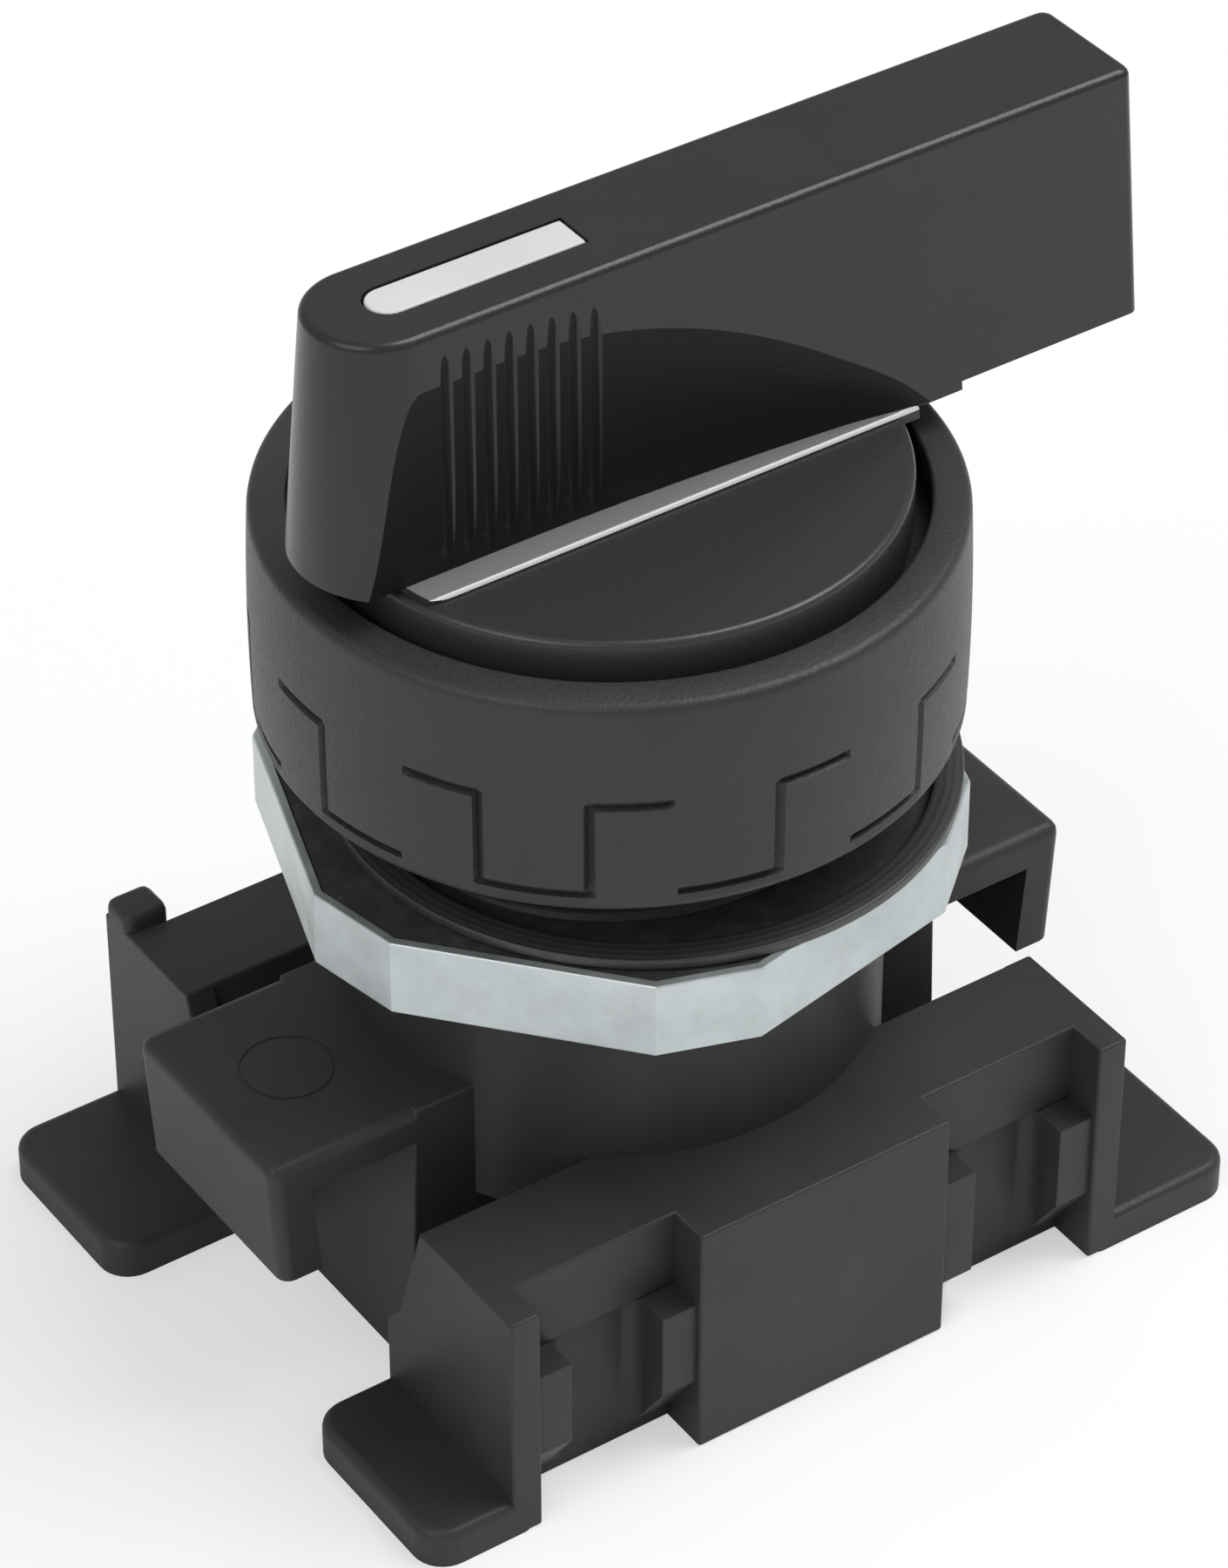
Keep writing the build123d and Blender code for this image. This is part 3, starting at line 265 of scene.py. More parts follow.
class FinishColours(bpy.types.PropertyGroup):
    """Colours of the mouldings, rubber and metal"""
    lever: colour("Lever", "Satin black of the lever and knob", (0.0200, 0.0200, 0.0202))
    bezel: colour("Bezel", "Dark grey of the bezel", (0.0270, 0.0270, 0.0270))
    adapter: colour("Adapter", "Warm dark grey of the adapter", (0.0385, 0.0375, 0.0375))
    plate: colour("Disc plate", "Slightly lighter black of the knob disc's plate", (0.034, 0.034, 0.035))
    # Painted highlight: light grey on the ridge's upward-facing strip, in place of the light that falls on it
    ridge: colour("Ridge", "Light grey of the ridge beside the finger flats", (0.19, 0.19, 0.19))
    # Painted highlight: a bright line on the ridge's rounded outer edge
    ridge_edge_painted_highlight: colour("Ridge edge", "Bright line along the ridge's outer edge", (0.60, 0.60, 0.60))
    # Painted shade: a deeper black for the sideways-facing finger flats, in place of the dark reflection they
    # show
    flats: colour("Finger flats", "Deep black of the finger flats", (0.0145, 0.0145, 0.0150))
    insert: colour("Insert", "Light grey of the pointer insert", (0.62, 0.62, 0.63))
    rubber: colour("Rubber", "Black of the gasket and the pad", (0.034, 0.034, 0.034))
    zinc: colour("Zinc", "Bluish zinc plate of the nut", (0.60, 0.645, 0.65))
    steel: colour("Steel", "Bright steel of springs, clip and screw", (0.58, 0.58, 0.60))
    brass: colour("Brass", "Brass of the detent pins", (0.62, 0.46, 0.20))
    inner: colour("Inner mouldings", "Natural grey of the inner mouldings", (0.50, 0.50, 0.47))
    plunger: colour("Plungers", "Red-brown of the plungers", (0.36, 0.07, 0.05))


class StageSettings(bpy.types.PropertyGroup):
    """Camera, floor and lamps"""
    azimuth: turn("Azimuth", "Camera direction round the object", -34.49)
    elevation: turn("Elevation", "Camera height angle", 38.19)
    distance: size("Distance", "Distance from the camera to the aim point", 0.25842)
    aim_right: size("Aim right", "How far the aim point lies to the right of the axis", 0.00019)
    aim_up: size("Aim up", "How far the aim point lies above the seat plane in the picture", -0.0041)
    lens: FloatProperty(name="Lens", description="Focal length in millimetres", default=140.0)
    floor_reach: size("Floor", "Half the width of the floor", 1.2)
    key_power: power("Overhead lamp", "Power of the softbox overhead", 2.4)
    side_power: power("Side lamp", "Power of the lamp on the left", 1.1)
    ambient: share("Ambient", "Strength of the light from all round", 0.42)
    shadow_near: size("Shadow near", "Distance at which the floor's shadow starts to fade out", 0.035)
    shadow_far: size("Shadow far", "Distance beyond which the camera sees plain white floor", 0.11)
    floor_white: share("Floor white", "How much plain white the camera sees in the floor", 0.5)


def settings():
    return bpy.context.scene.lever_switch


class SwitchSettings(bpy.types.PropertyGroup):
    """All sizes and finishes of the switch"""
    lever: PointerProperty(type=LeverSizes)
    flat: PointerProperty(type=FlatSizes)
    inlay: PointerProperty(type=InlaySizes)
    bezel: PointerProperty(type=BezelSizes)
    nut: PointerProperty(type=NutSizes)
    adapter: PointerProperty(type=AdapterSizes)
    finish: PointerProperty(type=FinishColours)
    stage: PointerProperty(type=StageSettings)


# Materials

def feed(tree, node, inputs):
    """Links or sets inputs of a node"""
    for key, value in inputs.items():
        if isinstance(value, bpy.types.NodeSocket):
            tree.links.new(value, node.inputs[key])
        else:
            node.inputs[key].default_value = value


def add(tree, kind, inputs=None, **values):
    """Adds a node, sets its values and feeds its inputs"""
    node = tree.nodes.new("ShaderNode" + kind)
    for key, value in values.items():
        setattr(node, key, value)
    feed(tree, node, inputs or {})
    return node


def new_material(name):
    material = bpy.data.materials.new(name)
    material.use_nodes = True
    return material, material.node_tree, material.node_tree.nodes["Principled BSDF"]


def noise(tree, scale, detail, roughness=0.5, stretch=None):
    """Noise in object space, scaled per metre and stretched along an axis where asked"""
    source = add(tree, "TexCoord").outputs["Object"]
    if stretch:
        source = add(tree, "Mapping", {"Scale": stretch, "Vector": source}).outputs["Vector"]
    inputs = {"Scale": scale, "Detail": detail, "Roughness": roughness, "Vector": source}
    return add(tree, "TexNoise", inputs).outputs["Fac"]


def ramp(tree, source, low, high, start=0.3, end=0.7):
    """Colour or grey ramp between two values"""
    node = add(tree, "ValToRGB", {"Fac": source})
    for element, position, value in zip(node.color_ramp.elements, (start, end), (low, high)):
        element.position = position
        element.color = (*value, 1.0)
    return node.outputs["Color"]


def scaled(values, factor):
    return tuple(min(1.0, value * factor) for value in values)


def grey(value):
    return (value, value, value)


def calc(tree, operation, *values):
    """Maths node whose inputs are numbers or sockets"""
    return add(tree, "Math", dict(enumerate(values)), operation=operation).outputs["Value"]


def product(tree, first, *others):
    for other in others:
        first = calc(tree, "MULTIPLY", first, other)
    return first


def bump(tree, shader, *layers):
    """Stacks bump layers, each a height source with a strength and a depth in metres"""
    inputs = {}
    for source, strength, depth in layers:
        inputs.update({"Strength": strength, "Distance": depth, "Height": source})
        inputs = {"Normal": add(tree, "Bump", inputs).outputs["Normal"]}
    feed(tree, shader, inputs)


def moulded_plastic(name, base, rough, grain_scale, grain_depth, clouding=0.12, specular=0.4):
    """Moulded plastic: fine spark-eroded grain, faint cloudiness and slightly uneven gloss"""
    material, tree, shader = new_material(name)
    cloud = noise(tree, CLOUD_SCALE, 4.0)
    grain = noise(tree, grain_scale, 3.0, 0.6)
    feed(tree, shader, {
        "Base Color": ramp(tree, cloud, scaled(base, 1.0 - clouding), scaled(base, 1.0 + clouding)),
        "Roughness": ramp(tree, grain, grey(rough - 0.05), grey(rough + 0.07)),
        "Specular IOR Level": specular,
    })
    bump(tree, shader, (grain, 0.5, grain_depth), (cloud, 0.15, grain_depth * 4))
    return material


def lever_masks(tree, sizes, flat):
    """Masks that are 1 where painted shade goes on the finger flats, on the disc's plate, where a painted
    highlight goes on the ridge and where a brighter painted highlight goes on the ridge's edge
    """
    place = add(tree, "TexCoord")
    spot = add(tree, "SeparateXYZ", {"Vector": place.outputs["Object"]}).outputs
    facing = add(tree, "SeparateXYZ", {"Vector": place.outputs["Normal"]}).outputs
    distance = calc(tree, "ABSOLUTE", spot["Y"])
    past = calc(tree, "MAXIMUM", calc(tree, "SUBTRACT", spot["X"], flat.bend_x), 0.0)
    sweep = calc(tree, "DIVIDE", product(tree, past, past), 2 * flat.bend_radius)
    reach = calc(tree, "ADD", sweep, flat.deep_y + flat.flute_depth / 4)
    # Painted shade goes on the sideways-facing faces inside the finger flats
    flats = product(
        tree, calc(tree, "LESS_THAN", distance, reach),
        calc(tree, "GREATER_THAN", calc(tree, "ABSOLUTE", facing["Y"]), SIDEWAYS),
        calc(tree, "LESS_THAN", spot["Z"], sizes.top_z - sizes.edge_round),
        calc(tree, "LESS_THAN", facing["Z"], UPRIGHT),
        calc(tree, "LESS_THAN", spot["X"], flat.tail_x),
    )
    plate = calc(tree, "LESS_THAN", spot["Z"], sizes.low_z + sizes.disc_round / 8)
    low = calc(tree, "LESS_THAN", spot["Z"], flat.ridge_z + 2 * flat.ridge_round)
    # Painted highlight goes on the upward-facing ridge below the finger flats
    ridge = product(tree, calc(tree, "GREATER_THAN", facing["Z"], UPWARDS), low)
    ridge = calc(tree, "MAXIMUM", calc(tree, "SUBTRACT", ridge, plate), 0.0)
    # Brighter painted highlight goes on the ridge's rounded outer edge
    edge = product(
        tree, ridge, calc(tree, "LESS_THAN", facing["Z"], ROUNDED),
        calc(tree, "GREATER_THAN", distance, flat.deep_y + 2 * flat.ridge_round),
    )
    return flats, plate, ridge, edge


def blend(tree, mask, socket, value):
    """Gives a shader input another value where the mask is 1"""
    before = socket.links[0].from_socket if socket.is_linked else socket.default_value
    kind = "FLOAT"
    if not isinstance(value, float):
        kind, value = "RGBA", (*value, 1.0)
    mix = add(tree, "Mix", {"Factor": mask, "A": before, "B": value}, data_type=kind)
    tree.links.new(mix.outputs["Result"], socket)


def lever_plastic(name, finish, rough):
    """Satin moulded plastic, with painted shade in black on the finger flats, lighter on the disc's plate,
    and painted highlights on the ridge and its edge
    """
    material = moulded_plastic(name, finish.lever, rough, 9000.0, 0.000012)
    tree = material.node_tree
    inputs = tree.nodes["Principled BSDF"].inputs
    masks = lever_masks(tree, settings().lever, settings().flat)
    # Painted shade: the finger flats also get a weaker specular
    blend(tree, masks[0], inputs["Specular IOR Level"], 0.1)
    # Colours over the satin black: painted shade on the flats, a lighter tone on the disc's plate, painted
    # highlights on the ridge and its edge
    for mask, value in zip(masks, (finish.flats, finish.plate, finish.ridge, finish.ridge_edge_painted_highlight)):
        blend(tree, mask, inputs["Base Color"], value)
    return material


def rubber(name, base):
    """Matt rubber with a dusty, slightly lighter bloom"""
    material, tree, shader = new_material(name)
    bloom = noise(tree, 900.0, 5.0, 0.65)
    feed(tree, shader, {
        "Base Color": ramp(tree, bloom, base, scaled(base, 2.2), 0.45, 0.8),
        "Roughness": ramp(tree, bloom, grey(0.55), grey(0.75)),
    })
    bump(tree, shader, (noise(tree, 9000.0, 2.0), 0.35, 0.00002))
    return material


def turned_rubber(name, base, centre):
    """Rubber disc whose face carries fine rings about its own centre"""
    material, tree, shader = new_material(name)
    shift = {"Location": (-centre[0], -centre[1], 0.0), "Vector": add(tree, "TexCoord").outputs["Object"]}
    shifted = add(tree, "Mapping", shift).outputs["Vector"]
    rings = add(tree, "TexWave", {"Scale": 900.0, "Distortion": 1.2, "Detail": 2.0, "Vector": shifted},
                wave_type="RINGS", rings_direction="Z").outputs["Fac"]
    feed(tree, shader, {"Base Color": ramp(tree, rings, base, scaled(base, 1.5)), "Roughness": 0.42})
    bump(tree, shader, (rings, 0.12, 0.00002))
    return material


def zinc_plate(name, base):
    """Zinc plated steel: soft mottling, darker stains and a fine drawn grain"""
    material, tree, shader = new_material(name)
    mottle = noise(tree, 420.0, 6.0, 0.62)
    light = ramp(tree, mottle, scaled(base, 0.86), scaled(base, 1.1), 0.3, 0.68)
    stain = ramp(tree, noise(tree, 90.0, 3.0), (0.82, 0.86, 0.86), (1.0, 1.0, 1.0), 0.35, 0.6)
    mix = add(tree, "Mix", {"Factor": 0.5, "A": light, "B": stain}, data_type="RGBA", blend_type="MULTIPLY")
    feed(tree, shader, {
        "Base Color": mix.outputs["Result"], "Metallic": 0.75,
        "Roughness": ramp(tree, mottle, grey(0.36), grey(0.52)),
    })
    drawn = noise(tree, 1500.0, 3.0, 0.5, (0.25, 0.25, 3.0))
    bump(tree, shader, (drawn, 0.2, 0.00001), (mottle, 0.25, 0.00002))
    return material


def bright_metal(name, base, rough):
    """Drawn or turned metal with fine scratches"""
    material, tree, shader = new_material(name)
    scratch = noise(tree, 3000.0, 2.0, 0.5, (1.0, 1.0, 6.0))
    feed(tree, shader, {
        "Base Color": ramp(tree, scratch, scaled(base, 0.85), scaled(base, 1.1)), "Metallic": 1.0,
        "Roughness": ramp(tree, scratch, grey(rough), grey(rough + 0.12)),
    })
    bump(tree, shader, (scratch, 0.15, 0.00001))
    return material


# Mesh helpers

def make_object(name, mesh):
    piece = bpy.data.objects.new(name, mesh)
    bpy.context.scene.collection.objects.link(piece)
    return piece


def mesh_from_bmesh(name, form):
    bmesh.ops.recalc_face_normals(form, faces=form.faces[:])
    mesh = bpy.data.meshes.new(name)
    form.to_mesh(mesh)
    form.free()
    return mesh


def object_from_faces(name, points, faces):
    mesh = bpy.data.meshes.new(name)
    mesh.from_pydata(points, [], faces)
    form = bmesh.new()
    form.from_mesh(mesh)
    bmesh.ops.remove_doubles(form, verts=form.verts[:], dist=MERGE_DISTANCE)
    bmesh.ops.recalc_face_normals(form, faces=form.faces[:])
    form.to_mesh(mesh)
    form.free()
    return make_object(name, mesh)


def spread(start, end, steps):
    return [start + (end - start) * step / steps for step in range(steps + 1)]


def arc_points(centre_x, centre_y, radius, start, end, steps):
    return [(centre_x + radius * math.cos(angle), centre_y + radius * math.sin(angle))
            for angle in spread(start, end, steps)]


def circle_outline(radius, steps, centre=(0.0, 0.0)):
    return arc_points(*centre, radius, 0.0, FULL_TURN, steps)[:-1]


def smooth_step(value):
    value = min(1.0, max(0.0, value))
    return value * value * (3.0 - 2.0 * value)


def turned(name, profile_at, steps, centre=(0.0, 0.0)):
    """Closed ring about an upright axis, from its closed profile of radius and height at each angle"""
    points = []
    for angle in spread(0.0, FULL_TURN, steps)[:-1]:
        cos, sin = math.cos(angle), math.sin(angle)
        points += [(centre[0] + radius * cos, centre[1] + radius * sin, z) for radius, z in profile_at(angle)]
    rows = len(points) // steps
    faces = []
    for step in range(steps):
        here, there = step * rows, (step + 1) % steps * rows
        for row in range(rows):
            after = (row + 1) % rows
            faces.append((here + row, there + row, there + after, here + after))
    return object_from_faces(name, points, faces)


def lathe(name, profile, steps, centre=(0.0, 0.0)):
    """Closed ring turned from one closed profile"""
    return turned(name, lambda angle: profile, steps, centre)


def round_profile(corners, segments=4):
    """Rounds a closed profile: each corner is radius, height and the rounding asked for"""
    rounded = []
    total = len(corners)
    for index, (x, z, radius) in enumerate(corners):
        here = Vector((x, z))
        before = Vector(corners[index - 1][:2]) - here
        after = Vector(corners[(index + 1) % total][:2]) - here
        turn_angle = before.angle(after) if radius > 0 else math.pi
        if radius <= 0 or turn_angle > STRAIGHT_ANGLE:
            rounded.append((x, z))
            continue
        setback = radius / math.tan(turn_angle / 2)
        start = here + before.normalized() * setback
        end = here + after.normalized() * setback
        middle = here + (before.normalized() + after.normalized()).normalized() * (
            radius / math.sin(turn_angle / 2))
        first = start - middle
        sweep = first.angle_signed(end - middle)
        for step in range(segments + 1):
            rotated = Matrix.Rotation(-sweep * step / segments, 2) @ first
            rounded.append(tuple(middle + rotated))
    return rounded


def rounded_block(name, low, high, radius=0.0, segments=3):
    form = bmesh.new()
    bmesh.ops.create_cube(form, size=1.0)
    low, high = Vector(low), Vector(high)
    for vert in form.verts:
        vert.co = Vector([low[i] + (vert.co[i] + 0.5) * (high[i] - low[i]) for i in range(3)])
    if radius > 0:
        bmesh.ops.bevel(form, geom=form.edges[:], offset=radius, segments=segments, profile=0.5,
                        affect="EDGES")
    return make_object(name, mesh_from_bmesh(name, form))


def prism(name, outline, low, high, axis, radius=0.0, segments=3, round_above=None):
    """Closed outline pushed along an axis: 'X' takes (y, z) points, 'Y' (x, z), 'Z' (x, y)"""
    form = bmesh.new()
    place = {
        "X": lambda a, b, level: (level, a, b),
        "Y": lambda a, b, level: (a, level, b),
        "Z": lambda a, b, level: (a, b, level),
    }[axis]
    rings = [[form.verts.new(place(a, b, level)) for a, b in outline] for level in (low, high)]
    form.faces.new(rings[0])
    form.faces.new(rings[1][::-1])
    for index in range(len(outline)):
        after = (index + 1) % len(outline)
        form.faces.new((rings[0][index], rings[1][index], rings[1][after], rings[0][after]))
    bmesh.ops.recalc_face_normals(form, faces=form.faces[:])
    if radius > 0:
        edges = [edge for edge in form.edges if edge.calc_face_angle(0.0) > SHARP_ANGLE]
        if round_above is not None:
            edges = [edge for edge in edges if max(vert.co.z for vert in edge.verts) > round_above]
        bmesh.ops.bevel(form, geom=edges, offset=radius, segments=segments, profile=0.5, affect="EDGES",
                        clamp_overlap=True)
    return make_object(name, mesh_from_bmesh(name, form))


def combine(piece, others, operation):
    """Joins or cuts solids into one closed mesh, and removes the tools"""
    for other in others:
        step = piece.modifiers.new(operation.lower(), "BOOLEAN")
        step.operation = operation
        step.object = other
        step.solver = "MANIFOLD"
    bake(piece)
    for other in others:
        bpy.data.objects.remove(other, do_unlink=True)
    return piece


def bake(piece):
    graph = bpy.context.evaluated_depsgraph_get()
    mesh = bpy.data.meshes.new_from_object(piece.evaluated_get(graph))
    old = piece.data
    piece.modifiers.clear()
    piece.data = mesh
    bpy.data.meshes.remove(old)


def loft(name, sections):
    """Closed solid through sections that all have as many points"""
    points = [point for section in sections for point in section]
    width = len(sections[0])
    faces = [tuple(range(width))[::-1], tuple(range(len(points) - width, len(points)))]
    for level in range(len(sections) - 1):
        base = level * width
        for index in range(width):
            after = (index + 1) % width
            faces.append((base + index, base + after, base + width + after, base + width + index))
    return object_from_faces(name, points, faces)


def mirrored(name, piece):
    """Copy of a solid mirrored from front to rear"""
    form = bmesh.new()
    form.from_mesh(piece.data)
    for vert in form.verts:
        vert.co.y = -vert.co.y
    bmesh.ops.reverse_faces(form, faces=form.faces[:])
    return make_object(name, mesh_from_bmesh(name, form))


def mark_creases(piece, test):
    """Marks the edges that a test picks as sharp"""
    form = bmesh.new()
    form.from_mesh(piece.data)
    form.normal_update()
    for edge in form.edges:
        if len(edge.link_faces) == 2 and test(edge):
            edge.smooth = False
    form.to_mesh(piece.data)
    form.free()


def finish_piece(piece, material, body, replaced=(), crease=None):
    """Shades a piece with flat faces that stay flat, gives it its finish and ties it to its body"""
    piece.data.materials.clear()
    piece.data.materials.append(material)
    piece.data.shade_smooth()
    piece.data.set_sharp_from_angle(angle=SHARP_ANGLE)
    if crease:
        mark_creases(piece, crease)
    flatten = piece.modifiers.new("flatten", "WEIGHTED_NORMAL")
    flatten.keep_sharp = True
    bake(piece)
    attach(piece, body)
    if replaced:
        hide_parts(*replaced)


# Lever

def lever_ring(sizes, z, inset):
    """One level outline of the lever: round nose, straight flanks and rounded tail corners"""
    share_down = (sizes.top_z - z) / (sizes.top_z - sizes.low_z)
    half = sizes.top_half + share_down * (sizes.low_half - sizes.top_half) - inset
    nose_x = sizes.nose_top_x + share_down * (sizes.nose_low_x - sizes.nose_top_x)
    corner = sizes.corner_round
    corner_x = sizes.tail_x - inset - corner
    ring = arc_points(nose_x, 0.0, half, QUARTER_TURN, 3 * QUARTER_TURN, 72)
    ring += arc_points(corner_x, corner - half, corner, -QUARTER_TURN, 0.0, 5)
    ring += arc_points(corner_x, half - corner, corner, 0.0, QUARTER_TURN, 5)
    return [(x, y, z) for x, y in ring]


def lever_bar(sizes):
    top = sizes.top_z - sizes.edge_round
    rings = [lever_ring(sizes, sizes.low_z - sizes.disc_round, 0.0)]
    for angle in spread(0.0, QUARTER_TURN, 7):
        rise, inset = sizes.edge_round * math.sin(angle), sizes.edge_round * (1 - math.cos(angle))
        rings.append(lever_ring(sizes, top + rise, inset))
    return loft("lever_bar", rings)


def flat_distance(flat, x, z):
    """Distance of the finger flat from the middle plane at a place along and up the lever"""
    past = max(0.0, x - flat.bend_x)
    sweep = flat.bend_radius - math.sqrt(flat.bend_radius ** 2 - past ** 2)
    down = max(0.0, flat.foot_top_z - z) / (flat.foot_top_z - flat.ridge_z)
    fade = 1.0 - smooth_step((x - flat.foot_end_x) / (flat.tail_x - flat.foot_end_x))
    return flat.deep_y + sweep - flat.foot_depth * fade * down ** 3


def ridge_profile(sizes, flat):
    """Section of the ridge from its inner edge to the rounded outer one"""
    turn_y = sizes.low_half - flat.ridge_round
    low_z = flat.ridge_z - flat.ridge_round
    inner_y = flat.deep_y - flat.foot_depth
    inner_z = flat.ridge_z + (turn_y - inner_y) * math.tan(flat.ridge_slope)
    rounded = arc_points(turn_y, low_z, flat.ridge_round, QUARTER_TURN, 0.0, 5)
    return [(inner_y, inner_z)] + rounded


def flat_cutter(sizes, flat, side):
    """Solid that cuts one finger flat and leaves the ridge at its foot"""
    far_y = 2 * sizes.low_half
    high_z = sizes.top_z + sizes.low_half
    ridge = ridge_profile(sizes, flat)
    inner_y, inner_z = ridge[0]
    turn_y, turn_z = ridge[1]
    heights = spread(inner_z, flat.foot_top_z, 14)[1:] + [high_z]
    sections = []
    for x in spread(flat.nose_x, flat.tail_x, 90):
        start_y = flat_distance(flat, x, inner_z)
        along = (start_y - inner_y) / (turn_y - inner_y)
        section = [(start_y, inner_z + min(1.0, along) * (turn_z - inner_z))]
        section += [(flat_distance(flat, x, z), z) for z in heights]
        section += [(far_y, high_z), (far_y, ridge[-1][1])]
        nudge = flat.ridge_round / 100
        outer = [(max(y, start_y + nudge * (index + 1)), z) for index, (y, z) in enumerate(ridge[1:])]
        section += outer[::-1]
        sections.append([(x, side * y, z) for y, z in section])
    return loft("flat_cutter", sections)


def flute_cutters(sizes, flat, side):
    cutters = []
    low_z = flat.ridge_z + 2 * flat.ridge_round
    for index in range(flat.flute_count):
        x = flat.flute_first_x + index * flat.flute_pitch
        y = flat_distance(flat, x, sizes.top_z) - flat.flute_depth + flat.flute_radius
        outline = circle_outline(flat.flute_radius, FLUTE_STEPS, (x, side * y))
        cutters.append(prism("flute", outline, low_z, sizes.top_z, "Z"))
    return cutters


def inlay_outline(gap):
    inlay = settings().inlay
    half = inlay.half + gap
    arc = arc_points(inlay.start_x - gap + half, 0.0, half, QUARTER_TURN, 3 * QUARTER_TURN, 24)
    return arc + [(inlay.end_x + gap, -half), (inlay.end_x + gap, half)]


class SWITCH_OT_lever(bpy.types.Operator):
    """Builds the lever with its finger flats and flutes, the knob disc and the pointer insert"""
    bl_idname = "lever_switch.lever"
    bl_label = "Lever and Insert"

    def execute(self, context):
        sizes, flat, inlay, finish = settings().lever, settings().flat, settings().inlay, settings().finish
        over = sizes.low_half
        bar = lever_bar(sizes)
        undercuts = [
            rounded_block("undercut", (sizes.boss_end_x, -2 * over, sizes.disc_low_z),
                          (sizes.tail_x + over, 2 * over, sizes.tail_low_z)),
            rounded_block("undercut_boss", (sizes.disc_radius, -2 * over, sizes.disc_low_z),
                          (sizes.tail_x, 2 * over, sizes.boss_low_z)),
            prism("undercut_nose", arc_points(0.0, 0.0, sizes.disc_radius - sizes.disc_round,
                                              math.pi * 0.8, math.pi * 1.2, 60)
                  + [(-2 * sizes.disc_radius, -2 * over), (-2 * sizes.disc_radius, 2 * over)],
                  sizes.disc_low_z, flat.nose_low_z, "Z"),
        ]
        for side in (-1, 1):
            undercuts.append(flat_cutter(sizes, flat, side))
            undercuts += flute_cutters(sizes, flat, side)
        combine(bar, undercuts, "DIFFERENCE")
        disc = lathe("disc", round_profile([
            (sizes.hub_radius / 3, sizes.hub_low_z, 0.0),
            (sizes.hub_radius, sizes.hub_low_z, sizes.disc_round),
            (sizes.hub_radius, sizes.disc_low_z, 0.0),
            (sizes.disc_radius, sizes.disc_low_z, sizes.disc_round),
            (sizes.disc_radius, sizes.low_z, sizes.disc_round),
            (sizes.hub_radius / 3, sizes.low_z, 0.0),
        ]), DISC_STEPS)
        core = prism("core", circle_outline(sizes.hub_radius / 2, CORE_STEPS), sizes.hub_low_z,
                     sizes.low_z, "Z")
        combine(bar, [disc, core], "UNION")
        pocket = prism("pocket", inlay_outline(inlay.groove), sizes.top_z - inlay.depth,
                       sizes.top_z + inlay.depth, "Z")
        combine(bar, [pocket], "DIFFERENCE")
        bar.name = "lever"

        def at_flat(edge):
            tilts = [face.normal.z for face in edge.link_faces]
            middle = (edge.verts[0].co + edge.verts[1].co) / 2
            inside = middle.z > flat.ridge_z and middle.x < flat.tail_x and abs(middle.y) > inlay.half * 2
            return inside and min(tilts) < CREASE_TILT < max(tilts)

        finish_piece(bar, lever_plastic("lever_plastic", finish, 0.27),
                     LEVER_BODY, ["lever_handle"], at_flat)
        insert = prism("insert", inlay_outline(0.0), sizes.top_z - inlay.depth, sizes.top_z, "Z",
                       inlay.edge_round)
        finish_piece(insert, moulded_plastic("insert_plastic", finish.insert, 0.4, 6000.0, 0.00001, 0.04),
                     LEVER_BODY, ["indicator_inlay"])
        return {"FINISHED"}


# Bezel and neck

def line_depth(sizes, angle, z):
    """Share of the castellated line's depth at a place on the bezel's side"""
    pitch = FULL_TURN / sizes.tooth_count
    half_tooth = sizes.tooth_angle / 2
    index = round((angle - sizes.line_turn) / pitch)
    offset = angle - sizes.line_turn - index * pitch
    away = math.sin(index * pitch - sizes.mirror_angle)
    side = -1 if away > 0 else 1
    soft = sizes.line_width / 4
    beside = abs(offset) - half_tooth
    level = sizes.line_high_z if beside <= 0 else sizes.line_low_z
    open_end = 0 < beside < sizes.low_gap and offset * side < 0
    flat = 0.0 if open_end else smooth_step((sizes.line_width / 2 - abs(z - level)) / soft + 0.5)
    arc = abs(offset - side * half_tooth) * sizes.foot_radius
    between = sizes.line_low_z - soft < z < sizes.line_high_z + soft
    upright = smooth_step((sizes.line_width / 2.6 - arc) / soft + 0.5) if between else 0.0
    return max(flat, upright)


def bezel_side(sizes, z):
    along = min(1.0, max(0.0, z / sizes.height))
    straight = sizes.foot_radius + (sizes.rim_radius - sizes.foot_radius) * along
    return straight + 4 * sizes.bulge * along * (1 - along)


def side_heights(sizes):
    """Heights along the bezel's side, closer together at the two stretches of the line"""
    fine = sizes.line_width / 6
    rows = []
    z = sizes.edge_round
    while z < sizes.height - sizes.edge_round:
        near = min(abs(z - sizes.line_high_z), abs(z - sizes.line_low_z)) < sizes.line_width
        rows.append(z)
        z += fine if near else 5 * fine
    return rows


def bezel_profile(sizes):
    """The bezel's closed profile at an angle, as a function of that angle"""
    under = sizes.neck_radius - sizes.thread_depth
    shoulder_z = sizes.height * 0.8
    foot = round_profile([
        (under, 0.0, 0.0), (sizes.foot_radius, 0.0, sizes.edge_round),
        (sizes.foot_radius, sizes.edge_round * 3, 0.0),
    ])[:-1]
    rim = round_profile([
        (bezel_side(sizes, shoulder_z), shoulder_z, 0.0), (sizes.rim_radius, sizes.height, sizes.edge_round),
        (sizes.bore_radius, sizes.height + sizes.rim_slope, sizes.edge_round / 3),
        (sizes.bore_radius, sizes.floor_z, 0.0), (sizes.hub_bore, sizes.floor_z, 0.0),
        (sizes.hub_bore, sizes.web_low_z, 0.0), (under, sizes.web_low_z, 0.0),
    ])[1:]
    heights = side_heights(sizes)

    def profile(angle):
        side = [(bezel_side(sizes, z) - sizes.line_depth * line_depth(sizes, angle, z), z) for z in heights]
        return foot + side + rim

    return profile


